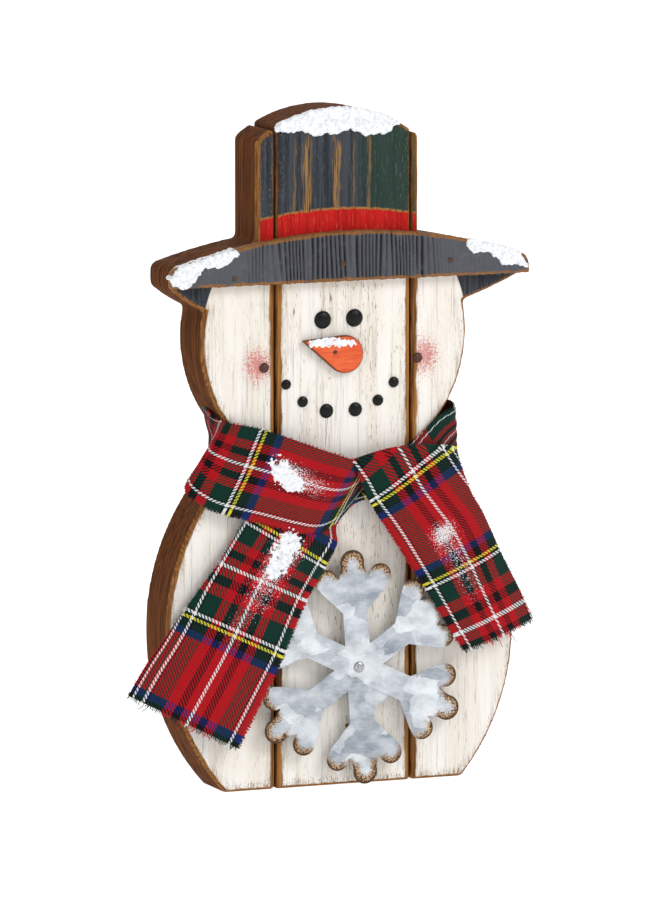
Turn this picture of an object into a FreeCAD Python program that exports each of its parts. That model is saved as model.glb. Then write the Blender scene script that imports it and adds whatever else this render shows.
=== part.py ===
import FreeCAD, Part
import math
import os

import Sketcher

# Plank snowman with a nailed hat brim, a cloth scarf and a sheet-metal snowflake.
# Millimetres. +Z is up, the front faces -Y, and the origin is the middle of the
# resting face. Every number that drives the model is a cell of the sheet "sizes".

V = FreeCAD.Vector
FRONT = FreeCAD.Rotation(V(1, 0, 0), 90)      # turns a part's own +Z towards the viewer, -Y

SIZES = {
    # three upright planks, cut together to one outline
    "board_thick": 28.5,
    "board_front": -14.25,
    "board_edge_wear": 0.5,
    "crown_edge_wear": 4.0,
    "left_board_inner": -33.6,
    "centre_board_left": -32.6,
    "centre_board_right": 31.35,
    "right_board_inner": 32.35,
    "torso_left_centre_x": 22.1,
    "torso_left_centre_z": 71.5,
    "torso_left_radius": 107.0,
    "torso_right_centre_x": -19.6,
    "torso_right_centre_z": 66.8,
    "torso_right_radius": 101.6,
    "head_centre_x": -4.8,
    "head_centre_z": 203.0,
    "head_radius": 63.5,
    # hat: crown and the brim outline that the planks carry
    "crown_left": -41.9,
    "crown_right": 35.5,
    "crown_arc_x": -3.2,
    "crown_arc_z": 242.8,
    "crown_arc_radius": 62.2,
    "brim_top_centre_x": 0.5,
    "brim_top_centre_z": -18.0,
    "brim_top_radius": 267.5,
    "brim_low_centre_x": -4.3,
    "brim_low_centre_z": 411.4,
    "brim_low_radius": 204.4,
    "brim_under_centre_x": -42.5,
    "brim_under_centre_z": 271.7,
    "brim_under_radius": 60.0,
    "brim_left_end": -82.5,
    "brim_right_end": 86.3,
    "brim_end_round": 4.2,
    "brim_tip_round": 5.5,
    # nailed brim strip
    "strip_thick": 6.0,
    "strip_left_end": -84.5,
    "strip_right_end": 87.0,
    "strip_low": 228.0,
    "strip_top_centre_x": 1.5,
    "strip_top_centre_z": -15.1,
    "strip_top_radius": 265.5,
    "strip_left_round": 4.0,
    "strip_tip_round": 7.0,
    "brad_shank_radius": 0.7,
    "brad_shank_length": 18.0,
    "brad_head_radius": 1.15,
    "brad_head_height": 0.5,
    "brad_left_x": -55.2,
    "brad_left_z": 231.6,
    "brad_centre_x": -3.4,
    "brad_centre_z": 236.2,
    "brad_right_x": 48.3,
    "brad_right_z": 235.4,
    # back battens
    "batten_thick": 6.5,
    "batten_height": 24.0,
    "batten_lower_width": 126.0,
    "batten_lower_z": 52.0,
    "batten_upper_width": 100.0,
    "batten_upper_z": 200.0,
    "batten_brad_inset": 12.0,
    "batten_brad_rise": 6.0,
    # carrot nose
    "nose_thick": 3.2,
    "nose_gap": 0.6,
    "nose_round_x": -0.9,
    "nose_round_z": 195.0,
    "nose_round_radius": 8.5,
    "nose_tip_x": -21.6,
    "nose_tip_z": 201.9,
    "nose_pin_x": -6.3,
    "nose_pin_z": 196.4,
    "nose_pin_head_radius": 0.9,
    "nose_pin_head_height": 0.5,
    "nose_pin_shank_radius": 0.5,
    "nose_pin_shank_length": 16.0,
    # domed nails
    "stud_shank_radius": 0.8,
    "stud_shank_length": 12.0,
    "eye_left_x": -10.8,
    "eye_left_z": 210.6,
    "eye_right_x": 4.4,
    "eye_right_z": 210.8,
    "eye_head_radius": 4.0,
    "eye_head_height": 1.9,
    "cheek_nail_left_x": -38.8,
    "cheek_nail_left_z": 190.4,
    "cheek_nail_right_x": 34.9,
    "cheek_nail_right_z": 191.4,
    "cheek_head_radius": 2.3,
    "cheek_head_height": 1.3,
    "mouth_stud_1_x": -28.3,
    "mouth_stud_1_z": 182.4,
    "mouth_stud_1_radius": 2.3,
    "mouth_stud_2_x": -20.4,
    "mouth_stud_2_z": 174.3,
    "mouth_stud_2_radius": 2.5,
    "mouth_stud_3_x": -9.0,
    "mouth_stud_3_z": 169.6,
    "mouth_stud_3_radius": 3.25,
    "mouth_stud_4_x": 4.9,
    "mouth_stud_4_z": 169.6,
    "mouth_stud_4_radius": 3.2,
    "mouth_stud_5_x": 15.8,
    "mouth_stud_5_z": 173.2,
    "mouth_stud_5_radius": 2.55,
    "mouth_stud_6_x": 23.4,
    "mouth_stud_6_z": 181.0,
    "mouth_stud_6_radius": 2.45,
    "mouth_head_height": 1.5,
    "board_nail_x": 1.0,
    "board_nail_z": 26.8,
    "board_nail_radius": 1.0,
    "board_nail_height": 0.6,
    # sheet-metal snowflake and the nail that it turns on
    "flake_x": 4.1,
    "flake_z": 54.1,
    "flake_back": -20.25,
    "flake_sheet": 0.8,
    "flake_turn": 3.8,
    "flake_hole_radius": 1.28,
    "flake_arm_width": 11.8,
    "flake_arm_length": 48.0,
    "flare_start": 25.0,
    "flare_end": 36.0,
    "flare_width": 31.0,
    "palm_end": 43.4,
    "side_lobe_offset": 12.9,
    "side_lobe_out": 40.4,
    "side_lobe_radius": 5.3,
    "tip_lobe_out": 47.6,
    "tip_lobe_radius": 5.7,
    "flake_nail_radius": 1.2,
    "flake_nail_shank": 24.0,
    "flake_nail_head_radius": 2.4,
    "flake_nail_head_height": 1.1,
    "flake_end_play": 0.25,
    # bent tin standoff behind the snowflake
    "standoff_width": 9.0,
    "standoff_back_reach": 8.0,
    "standoff_front_reach": 20.0,
    "standoff_sheet": 0.8,
    "standoff_turn": 57.0,
    # scarf: one cloth strip round the neck with two tails
    "cloth": 3.0,
    "scarf_clear": 0.35,
    "band_layer": 7.8,
    "band_width": 40.0,
    "band_length": 82.0,
    "band_x": -71.5,
    "band_z": 156.0,
    "band_turn": 106.0,
    "tail_back": -22.2,
    "left_tail_x": -29.0,
    "left_tail_z": 124.0,
    "left_tail_top_width": 46.0,
    "left_tail_low_width": 55.0,
    "left_tail_length": 101.0,
    "left_tail_turn": 210.3,
    "right_tail_x": 26.5,
    "right_tail_z": 147.0,
    "right_tail_top_width": 50.0,
    "right_tail_low_width": 40.0,
    "right_tail_length": 92.0,
    "right_tail_turn": 150.8,
    "shoulder_layer": 10.6,
    "shoulder_low": 132.0,
    "shoulder_high": 166.0,
    "shoulder_left": 14.0,
    "wrap_left": -75.0,
    "wrap_left_low": 139.0,
    "wrap_right": 51.0,
    "wrap_low": 141.0,
    "wrap_high": 168.0,
    "staple_x": -4.0,
    "staple_z": 154.0,
    "staple_span": 10.0,
    "staple_wire": 1.2,
    "staple_leg": 9.0,
    # dried snow paste
    "paste_thick": 1.4,
    "paste_crown_low": 293.6,
    "paste_crown_left": -32.0,
    "paste_crown_right": 28.5,
    "paste_brim_left_start": -79.5,
    "paste_brim_left_end": -52.0,
    "paste_brim_left_low": 237.5,
    "paste_brim_right_start": 55.5,
    "paste_brim_right_end": 82.0,
    "paste_brim_right_low": 236.5,
    "paste_nose_length": 12.0,
    "paste_nose_height": 3.4,
    "paste_nose_x": -16.0,
    "paste_nose_z": 199.6,
    "paste_nose_turn": 4.0,
}

doc = FreeCAD.newDocument("plank_snowman")
sheet = doc.addObject("Spreadsheet::Sheet", "sizes")
for row, (alias, number) in enumerate(SIZES.items(), 1):
    sheet.set(f"A{row}", alias)
    sheet.set(f"B{row}", str(number))
    sheet.setAlias(f"B{row}", alias)
doc.recompute()

nodes = []                                    # the finished sub-parts, in the order made


def size(alias):
    """Return a driving dimension, in millimetres or degrees."""
    return float(getattr(sheet, alias))


def bind(item, **links):
    """Tie an object's properties to formulas over the sheet's cells."""
    for prop, formula in links.items():
        item.setExpression(prop, formula)


def finish_node(item, label, at=None, turn=FreeCAD.Rotation()):
    """Name a finished sub-part, place it and keep it for export."""
    item.Label = label
    item.Placement = FreeCAD.Placement(V(*at) if at else V(), turn)
    nodes.append(item)
    return item


# ---------------------------------------------------------------- outlines
# A segment is ("x", cell) for an upright line, ("y", cell) for a level one, or a half of a
# circle, ("left" | "right" | "upper" | "lower", centre x, centre y, radius). A cell of None
# is the axis itself. Segments run anticlockwise, and each ends where it meets the next.

def on_half(kind, centre, point):
    """Tell whether a point of a circle is on the named half."""
    if kind == "left":
        return point[0] < centre[0]
    if kind == "right":
        return point[0] > centre[0]
    if kind == "upper":
        return point[1] > centre[1]
    return point[1] < centre[1]


def numbers(segment):
    return [0.0 if cell is None else size(cell) for cell in segment[1:]]


def circle_crossings(first, second):
    """Return the two points where two circles cross."""
    ax, ay, ar = first
    bx, by, br = second
    gap = math.hypot(bx - ax, by - ay)
    along = (gap ** 2 + ar ** 2 - br ** 2) / (2 * gap)
    aside = math.sqrt(ar ** 2 - along ** 2)
    ux = (bx - ax) / gap
    uy = (by - ay) / gap
    foot = (ax + ux * along, ay + uy * along)
    return [(foot[0] - uy * s * aside, foot[1] + ux * s * aside) for s in (-1, 1)]


def meet(first, second):
    """Return the point where two neighbouring segments meet."""
    if first[0] in ("x", "y") and second[0] in ("x", "y"):
        level = {first[0]: numbers(first)[0], second[0]: numbers(second)[0]}
        return level["x"], level["y"]
    if first[0] in ("x", "y"):
        first, second = second, first
    cx, cy, radius = numbers(first)
    if second[0] == "x":
        x = numbers(second)[0]
        reach = math.sqrt(radius ** 2 - (x - cx) ** 2)
        options = [(x, cy - reach), (x, cy + reach)]
    elif second[0] == "y":
        y = numbers(second)[0]
        reach = math.sqrt(radius ** 2 - (y - cy) ** 2)
        options = [(cx - reach, y), (cx + reach, y)]
    else:
        other = numbers(second)
        options = circle_crossings((cx, cy, radius), other)
        options = [p for p in options if on_half(second[0], other, p)]
    return [p for p in options if on_half(first[0], (cx, cy), p)][0]


def fix(sketch, kind, geometry, point, cell):
    """Hold a point's distance from an axis, or put it on the axis."""
    if cell is None:
        axis = -2 if kind == "DistanceX" else -1
        sketch.addConstraint(Sketcher.Constraint("PointOnObject", geometry, point, axis))
        return
    rule = Sketcher.Constraint(kind, -1, 1, geometry, point, size(cell))
    index = sketch.addConstraint(rule)
    name = f"{kind}_{geometry}_{point}"
    sketch.renameConstraint(index, name)
    sketch.setExpression("Constraints." + name, "sizes." + cell)


def origin_plane(body, role):
    return [item for item in body.Origin.OriginFeatures if item.Role == role][0]


def outline(body, name, segments):
    """Draw a closed, fully constrained outline on the body's XZ plane."""
    sketch = body.newObject("Sketcher::SketchObject", name)
    sketch.AttachmentSupport = (origin_plane(body, "XZ_Plane"), [""])
    sketch.MapMode = "FlatFace"
    count = len(segments)
    corners = [meet(segments[i - 1], segments[i]) for i in range(count)]
    for i, segment in enumerate(segments):
        start = corners[i]
        end = corners[(i + 1) % count]
        if segment[0] in ("x", "y"):
            sketch.addGeometry(Part.LineSegment(V(*start, 0), V(*end, 0)))
            continue
        cx, cy, radius = numbers(segment)
        first = math.atan2(start[1] - cy, start[0] - cx)
        last = math.atan2(end[1] - cy, end[0] - cx)
        if last < first:
            last += 2 * math.pi
        circle = Part.Circle(V(cx, cy, 0), V(0, 0, 1), radius)
        sketch.addGeometry(Part.ArcOfCircle(circle, first, last))
    for i in range(count):
        sketch.addConstraint(Sketcher.Constraint("Coincident", i, 2, (i + 1) % count, 1))
    for i, segment in enumerate(segments):
        if segment[0] == "x":
            sketch.addConstraint(Sketcher.Constraint("Vertical", i))
            fix(sketch, "DistanceX", i, 1, segment[1])
        elif segment[0] == "y":
            sketch.addConstraint(Sketcher.Constraint("Horizontal", i))
            fix(sketch, "DistanceY", i, 1, segment[1])
        else:
            fix(sketch, "DistanceX", i, 3, segment[1])
            fix(sketch, "DistanceY", i, 3, segment[2])
            index = sketch.addConstraint(Sketcher.Constraint("Radius", i, numbers(segment)[2]))
            sketch.renameConstraint(index, f"Radius_{i}")
            sketch.setExpression(f"Constraints.Radius_{i}", "sizes." + segment[3])
    return sketch


def padded_body(name, segments, thickness, placing="Symmetric"):
    """Pad an outline into a flat body; "One side" pads it towards the front."""
    body = doc.addObject("PartDesign::Body", name)
    pad = body.newObject("PartDesign::Pad", name + "_pad")
    pad.Profile = outline(body, name + "_outline", segments)
    pad.SideType = placing
    pad.setExpression("Length", thickness)
    doc.recompute()
    return body


def through_edges(shape, x, z, reach):
    """Name the edges parallel to Y that pass within reach of the point (x, z)."""
    names = []
    for index, edge in enumerate(shape.Edges, 1):
        ends = [vertex.Point for vertex in edge.Vertexes]
        if len(ends) != 2 or abs(ends[0].y - ends[1].y) < 0.5 * shape.BoundBox.YLength:
            continue
        if math.hypot(ends[0].x - x, ends[0].z - z) < reach:
            names.append(f"Edge{index}")
    return names


def round_corner(body, name, corner, radius):
    """Round the body's upright edge at the corner where two segments meet."""
    tip = body.Tip
    x, z = meet(*corner)
    fillet = body.newObject("PartDesign::Fillet", name)
    fillet.Base = (tip, through_edges(tip.Shape, x, z, 0.5))
    fillet.setExpression("Radius", radius)
    doc.recompute()


def wear_front(body, name):
    """Chamfer the front face's whole outline, as sanding leaves it."""
    tip = body.Tip
    faces = [(face.CenterOfMass.y, index) for index, face in enumerate(tip.Shape.Faces, 1)]
    chamfer = body.newObject("PartDesign::Chamfer", name)
    chamfer.Base = (tip, [f"Face{min(faces)[1]}"])
    chamfer.setExpression("Size", "sizes.board_edge_wear")
    doc.recompute()


# ---------------------------------------------------------------- planks and hat
ground = ("y", None)
torso_left = ("left", "torso_left_centre_x", "torso_left_centre_z", "torso_left_radius")
torso_right = ("right", "torso_right_centre_x", "torso_right_centre_z", "torso_right_radius")
head_left = ("left", "head_centre_x", "head_centre_z", "head_radius")
head_right = ("right", "head_centre_x", "head_centre_z", "head_radius")
crown_top = ("upper", "crown_arc_x", "crown_arc_z", "crown_arc_radius")
crown_left = ("x", "crown_left")
crown_right = ("x", "crown_right")
brim_top = ("upper", "brim_top_centre_x", "brim_top_centre_z", "brim_top_radius")
brim_low = ("lower", "brim_low_centre_x", "brim_low_centre_z", "brim_low_radius")
brim_under = ("lower", "brim_under_centre_x", "brim_under_centre_z", "brim_under_radius")
brim_left = ("x", "brim_left_end")
brim_right = ("x", "brim_right_end")


def planks():
    """Make the three planks, which share one outline and stand a saw cut apart."""
    left = padded_body("left_plank", [
        ground, ("x", "left_board_inner"), crown_top, crown_left, brim_top, brim_left,
        brim_under, head_left, torso_left], "sizes.board_thick")
    round_corner(left, "left_crown_round", (crown_top, crown_left), "sizes.crown_edge_wear")
    round_corner(left, "left_brim_round", (brim_top, brim_left), "sizes.brim_end_round")
    round_corner(left, "left_brim_under", (brim_left, brim_under), "sizes.brim_end_round")
    wear_front(left, "left_wear")
    finish_node(left, "board_left")

    centre = padded_body("centre_plank", [
        ground, ("x", "centre_board_right"), crown_top, ("x", "centre_board_left")],
        "sizes.board_thick")
    wear_front(centre, "centre_wear")
    finish_node(centre, "board_centre")

    right = padded_body("right_plank", [
        ground, torso_right, head_right, brim_low, brim_right, brim_top, crown_right,
        crown_top, ("x", "right_board_inner")], "sizes.board_thick")
    round_corner(right, "right_brim_round", (brim_right, brim_top), "sizes.brim_tip_round")
    wear_front(right, "right_wear")
    finish_node(right, "board_right")


def hat_brim():
    """Make the rough-sawn strip that is nailed across the planks as the brim."""
    top = ("upper", "strip_top_centre_x", "strip_top_centre_z", "strip_top_radius")
    left_end = ("x", "strip_left_end")
    right_end = ("x", "strip_right_end")
    level = ("y", "strip_low")
    body = padded_body("brim_strip", [level, right_end, top, left_end], "sizes.strip_thick",
                       "One side")
    round_corner(body, "strip_tip", (right_end, top), "sizes.strip_tip_round")
    round_corner(body, "strip_left_top", (top, left_end), "sizes.strip_left_round")
    finish_node(body, "hat_brim", (0, size("board_front"), 0))


def back_battens():
    """Make the two strips that hold the planks together from behind."""
    for which in ("lower", "upper"):
        batten = doc.addObject("Part::Box", f"{which}_batten")
        width = f"sizes.batten_{which}_width"
        bind(batten, Length=width, Width="sizes.batten_thick", Height="sizes.batten_height")
        corner = (size("head_centre_x") / 2 - size(f"batten_{which}_width") / 2,
                  -size("board_front"), size(f"batten_{which}_z"))
        finish_node(batten, f"back_batten_{which}", corner)


# ---------------------------------------------------------------- nails
def pin(name, head, head_radius, head_height, shank_radius, shank_length):
    """Make one nail: its head stands along its own +Z, its shank runs along -Z."""
    if head == "domed":
        top = doc.addObject("Part::Ellipsoid", name + "_dome")
        bind(top, Radius1=head_height, Radius2=head_radius, Radius3=head_radius)
        top.Angle1 = 0
    else:
        top = doc.addObject("Part::Cylinder", name + "_disc")
        bind(top, Radius=head_radius, Height=head_height)
    shank = doc.addObject("Part::Cylinder", name + "_shank")
    bind(shank, Radius=shank_radius, Height=shank_length)
    shank.setExpression("Placement.Base.z", "-" + shank_length)
    whole = doc.addObject("Part::Fuse", name + "_nail")
    whole.Base = top
    whole.Tool = shank
    return whole


def domed_nails():
    """Make the eyes, the six-stud mouth and the two cheek nails."""
    heads = {"eye_left": ("eye_head_radius", "eye_head_height"),
             "eye_right": ("eye_head_radius", "eye_head_height"),
             "cheek_nail_left": ("cheek_head_radius", "cheek_head_height"),
             "cheek_nail_right": ("cheek_head_radius", "cheek_head_height")}
    for number in range(1, 7):
        heads[f"mouth_stud_{number}"] = (f"mouth_stud_{number}_radius", "mouth_head_height")
    for name, (radius, height) in heads.items():
        nail = pin(name, "domed", "sizes." + radius, "sizes." + height,
                   "sizes.stud_shank_radius", "sizes.stud_shank_length")
        at = (size(name + "_x"), size("board_front"), size(name + "_z"))
        finish_node(nail, name, at, FRONT)


def front_nail():
    """Make the one small nail that shows in the centre plank."""
    nail = pin("board", "flat", "sizes.board_nail_radius", "sizes.board_nail_height",
               "sizes.brad_shank_radius", "sizes.stud_shank_length")
    at = (size("board_nail_x"), size("board_front"), size("board_nail_z"))
    finish_node(nail, "board_nail", at, FRONT)


def brad_group(label, places, turn):
    """Make one node of equal brads at the given places."""
    brads = []
    for number, at in enumerate(places, 1):
        brad = pin(f"{label}_{number}", "flat", "sizes.brad_head_radius",
                   "sizes.brad_head_height", "sizes.brad_shank_radius",
                   "sizes.brad_shank_length")
        brad.Placement = FreeCAD.Placement(V(*at), turn)
        brads.append(brad)
    group = doc.addObject("Part::Compound", label + "_group")
    group.Links = brads
    finish_node(group, label)


def brads():
    """Nail the brim strip to each plank, and each batten twice to each plank."""
    face = size("board_front") - size("strip_thick")
    brad_group("brim_brads", [(size(f"brad_{side}_x"), face, size(f"brad_{side}_z"))
                              for side in ("left", "centre", "right")], FRONT)
    back = size("batten_thick") - size("board_front")
    places = []
    for which in ("lower", "upper"):
        middle = size("head_centre_x") / 2
        reach = size(f"batten_{which}_width") / 2 - size("batten_brad_inset")
        low = size(f"batten_{which}_z") + size("batten_brad_rise")
        high = low + size("batten_height") - 2 * size("batten_brad_rise")
        places += [(middle + side * reach, back, z) for side in (-1, 0, 1) for z in (low, high)]
    brad_group("batten_brads", places, FreeCAD.Rotation(V(1, 0, 0), -90))


# ---------------------------------------------------------------- nose
def nose():
    """Make the thin carrot: a round end and two edges that run tangent to the tip."""
    body = doc.addObject("PartDesign::Body", "carrot")
    sketch = body.newObject("Sketcher::SketchObject", "carrot_outline")
    sketch.AttachmentSupport = (origin_plane(body, "XZ_Plane"), [""])
    sketch.MapMode = "FlatFace"
    cx, cz, radius = (size("nose_round_" + part) for part in ("x", "z", "radius"))
    tip_x = size("nose_tip_x")
    tip_z = size("nose_tip_z")
    reach = math.hypot(tip_x - cx, tip_z - cz)
    aim = math.atan2(tip_z - cz, tip_x - cx)
    half = math.acos(radius / reach)
    low = aim + half
    high = aim - half + 2 * math.pi
    touch = [V(cx + radius * math.cos(a), cz + radius * math.sin(a), 0) for a in (low, high)]
    tip = V(tip_x, tip_z, 0)
    circle = Part.Circle(V(cx, cz, 0), V(0, 0, 1), radius)
    sketch.addGeometry(Part.ArcOfCircle(circle, low, high))
    sketch.addGeometry(Part.LineSegment(touch[1], tip))
    sketch.addGeometry(Part.LineSegment(tip, touch[0]))
    sketch.addConstraint(Sketcher.Constraint("Coincident", 1, 2, 2, 1))
    sketch.addConstraint(Sketcher.Constraint("Tangent", 0, 2, 1, 1))
    sketch.addConstraint(Sketcher.Constraint("Tangent", 2, 2, 0, 1))
    fix(sketch, "DistanceX", 0, 3, "nose_round_x")
    fix(sketch, "DistanceY", 0, 3, "nose_round_z")
    fix(sketch, "DistanceX", 1, 2, "nose_tip_x")
    fix(sketch, "DistanceY", 1, 2, "nose_tip_z")
    index = sketch.addConstraint(Sketcher.Constraint("Radius", 0, radius))
    sketch.renameConstraint(index, "round_end")
    sketch.setExpression("Constraints.round_end", "sizes.nose_round_radius")
    pad = body.newObject("PartDesign::Pad", "carrot_pad")
    pad.Profile = sketch
    pad.setExpression("Length", "sizes.nose_thick")
    doc.recompute()
    back = size("board_front") - size("nose_gap")
    finish_node(body, "nose", (0, back, 0))

    nail = pin("nose_tack", "flat", "sizes.nose_pin_head_radius",
               "sizes.nose_pin_head_height", "sizes.nose_pin_shank_radius",
               "sizes.nose_pin_shank_length")
    at = (size("nose_pin_x"), back - size("nose_thick"), size("nose_pin_z"))
    finish_node(nail, "nose_pin", at, FRONT)


# ---------------------------------------------------------------- snowflake
def arm_wedge(body, name, near_half, far_half, near, far):
    """Add a flat wedge of sheet, from half width near_half at near to far_half at far."""
    wedge = body.newObject("PartDesign::AdditiveWedge", name)
    bind(wedge, Xmin="-" + near_half, Xmax=near_half, X2min="-" + far_half, X2max=far_half,
         Ymax=far, Zmax="sizes.flake_sheet", Z2max="sizes.flake_sheet")
    if near is not None:
        bind(wedge, Ymin=near)
    wedge.Z2min = 0
    doc.recompute()
    return wedge


def snowflake():
    """Cut six three-lobed arms from sheet, with a running hole for the nail."""
    body = doc.addObject("PartDesign::Body", "flake")
    half = "sizes.flake_arm_width / 2"
    wide = "sizes.flare_width / 2"
    arm = [arm_wedge(body, "stem", half, half, None, "sizes.flake_arm_length"),
           arm_wedge(body, "flare", half, wide, "sizes.flare_start", "sizes.flare_end"),
           arm_wedge(body, "palm", wide, wide, "sizes.flare_end", "sizes.palm_end")]
    lobes = {"left_lobe": (-size("side_lobe_offset"), size("side_lobe_out"), "side_lobe_radius"),
             "right_lobe": (size("side_lobe_offset"), size("side_lobe_out"), "side_lobe_radius"),
             "tip_lobe": (0, size("tip_lobe_out"), "tip_lobe_radius")}
    for name, (x, out, radius) in lobes.items():
        lobe = body.newObject("PartDesign::AdditiveCylinder", name)
        bind(lobe, Radius="sizes." + radius, Height="sizes.flake_sheet")
        lobe.AttachmentSupport = (origin_plane(body, "XY_Plane"), [""])
        lobe.MapMode = "FlatFace"
        lobe.AttachmentOffset = FreeCAD.Placement(V(x, out, 0), FreeCAD.Rotation())
        doc.recompute()
        arm.append(lobe)
    ring = body.newObject("PartDesign::PolarPattern", "six_arms")
    ring.Originals = arm
    ring.Axis = (origin_plane(body, "Z_Axis"), [""])
    ring.Angle = 360
    ring.Occurrences = 6
    body.Tip = ring
    doc.recompute()
    hole = body.newObject("PartDesign::SubtractiveCylinder", "nail_hole")
    bind(hole, Radius="sizes.flake_hole_radius", Height="sizes.flake_sheet")
    body.Tip = hole
    doc.recompute()
    spin = FreeCAD.Rotation(V(0, 0, 1), size("flake_turn"))
    at = (size("flake_x"), size("flake_back"), size("flake_z"))
    finish_node(body, "snowflake", at, FRONT * spin)


def flake_mount():
    """Make the snowflake's nail and the bent tin strip that stands it off the planks."""
    nail = pin("flake_pivot", "domed", "sizes.flake_nail_head_radius",
               "sizes.flake_nail_head_height", "sizes.flake_nail_radius",
               "sizes.flake_nail_shank")
    head_seat = size("flake_back") - size("flake_sheet") - size("flake_end_play")
    x = size("flake_x")
    z = size("flake_z")
    finish_node(nail, "flake_nail", (x, head_seat, z), FRONT)

    height = size("board_front") - size("flake_back") - size("flake_end_play")
    reach = "sizes.standoff_back_reach + sizes.standoff_front_reach"
    block = doc.addObject("Part::Box", "standoff_block")
    bind(block, Length=reach, Width="sizes.standoff_width")
    block.Height = height
    inside = doc.addObject("Part::Box", "standoff_inside")
    bind(inside, Length=reach + " - 2 * sizes.standoff_sheet", Width="sizes.standoff_width")
    inside.Height = height - size("standoff_sheet")
    inside.setExpression("Placement.Base.x", "sizes.standoff_sheet")
    bridge = doc.addObject("Part::Cut", "standoff_bridge")
    bridge.Base = block
    bridge.Tool = inside
    hole = doc.addObject("Part::Cylinder", "standoff_hole")
    bind(hole, Radius="sizes.flake_nail_radius")
    hole.Height = height
    hole.setExpression("Placement.Base.x", "sizes.standoff_back_reach")
    hole.setExpression("Placement.Base.y", "sizes.standoff_width / 2")
    strip = doc.addObject("Part::Cut", "standoff_strip")
    strip.Base = bridge
    strip.Tool = hole
    spin = FreeCAD.Rotation(V(0, 0, 1), -size("standoff_turn"))
    turn = FRONT * spin
    nail_place = V(size("standoff_back_reach"), size("standoff_width") / 2, 0)
    corner = V(x, size("board_front"), z) - turn.multVec(nail_place)
    finish_node(strip, "flake_standoff", tuple(corner), turn)


# ---------------------------------------------------------------- scarf
def strip_of_cloth(name, near_width, far_width, length, thick, at, turn):
    """Lay a flat tapered length of cloth; turn is its direction from straight up, clockwise."""
    piece = doc.addObject("Part::Wedge", name)
    bind(piece, Xmin=f"-{near_width} / 2", Xmax=f"{near_width} / 2",
         X2min=f"-{far_width} / 2", X2max=f"{far_width} / 2",
         Ymax=length, Zmax=thick, Z2max=thick)
    piece.Z2min = 0
    spin = FreeCAD.Rotation(V(0, 0, 1), -turn)
    piece.Placement = FreeCAD.Placement(V(*at), FRONT * spin)
    return piece


def wall_of_cloth(name, low, high):
    """Make an upright block of cloth between two corners."""
    piece = doc.addObject("Part::Box", name)
    piece.Length, piece.Width, piece.Height = (high[i] - low[i] for i in range(3))
    piece.Placement.Base = V(*low)
    return piece


def scarf():
    """Make the scarf as one closed solid: front band, wrap round the neck, two tails."""
    clear = size("scarf_clear")
    cloth = size("cloth")
    front = size("board_front") - clear
    back = -size("board_front") + clear
    left = size("wrap_left")
    right = size("wrap_right")
    low = size("wrap_low")
    high = size("wrap_high")
    pieces = [
        strip_of_cloth("front_band", "sizes.band_width", "sizes.band_width",
                       "sizes.band_length", "sizes.band_layer",
                       (size("band_x"), front, size("band_z")), size("band_turn")),
        strip_of_cloth("left_tail", "sizes.left_tail_top_width", "sizes.left_tail_low_width",
                       "sizes.left_tail_length", "sizes.cloth",
                       (size("left_tail_x"), size("tail_back"), size("left_tail_z")),
                       size("left_tail_turn")),
        strip_of_cloth("right_tail", "sizes.right_tail_top_width",
                       "sizes.right_tail_low_width", "sizes.right_tail_length",
                       "sizes.cloth",
                       (size("right_tail_x"), size("tail_back"), size("right_tail_z")),
                       size("right_tail_turn")),
        wall_of_cloth("shoulder", (size("shoulder_left"), front - size("shoulder_layer"),
                                   size("shoulder_low") + 2 * cloth),
                      (right, front, size("shoulder_high") - 2 * cloth)),
        wall_of_cloth("left_wrap", (left, front - cloth, size("wrap_left_low")),
                      (left + cloth, back + cloth, high)),
        wall_of_cloth("back_wrap", (left, back, low), (right + cloth, back + cloth, high)),
        wall_of_cloth("right_wrap", (right, front - cloth, low),
                      (right + cloth, back + cloth, high)),
    ]
    whole = doc.addObject("Part::MultiFuse", "scarf_strip")
    whole.Shapes = pieces
    finish_node(whole, "scarf")


def scarf_staple():
    """Make the wire staple that pins the scarf to the back of the neck."""
    legs = []
    for side in (0, 1):
        leg = doc.addObject("Part::Box", f"staple_leg_{side}")
        bind(leg, Length="sizes.staple_wire", Width="sizes.staple_leg",
             Height="sizes.staple_wire")
        leg.setExpression("Placement.Base.x", f"{side} * sizes.staple_span")
        legs.append(leg)
    crown = doc.addObject("Part::Box", "staple_crown")
    bind(crown, Length="sizes.staple_span + sizes.staple_wire", Width="sizes.staple_wire",
         Height="sizes.staple_wire")
    crown.setExpression("Placement.Base.y", "sizes.staple_leg")
    whole = doc.addObject("Part::MultiFuse", "staple_wire_bent")
    whole.Shapes = [crown] + legs
    face = size("cloth") + size("scarf_clear") - size("board_front")
    at = (size("staple_x"), face - size("staple_leg"), size("staple_z"))
    finish_node(whole, "scarf_staple", at)


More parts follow.
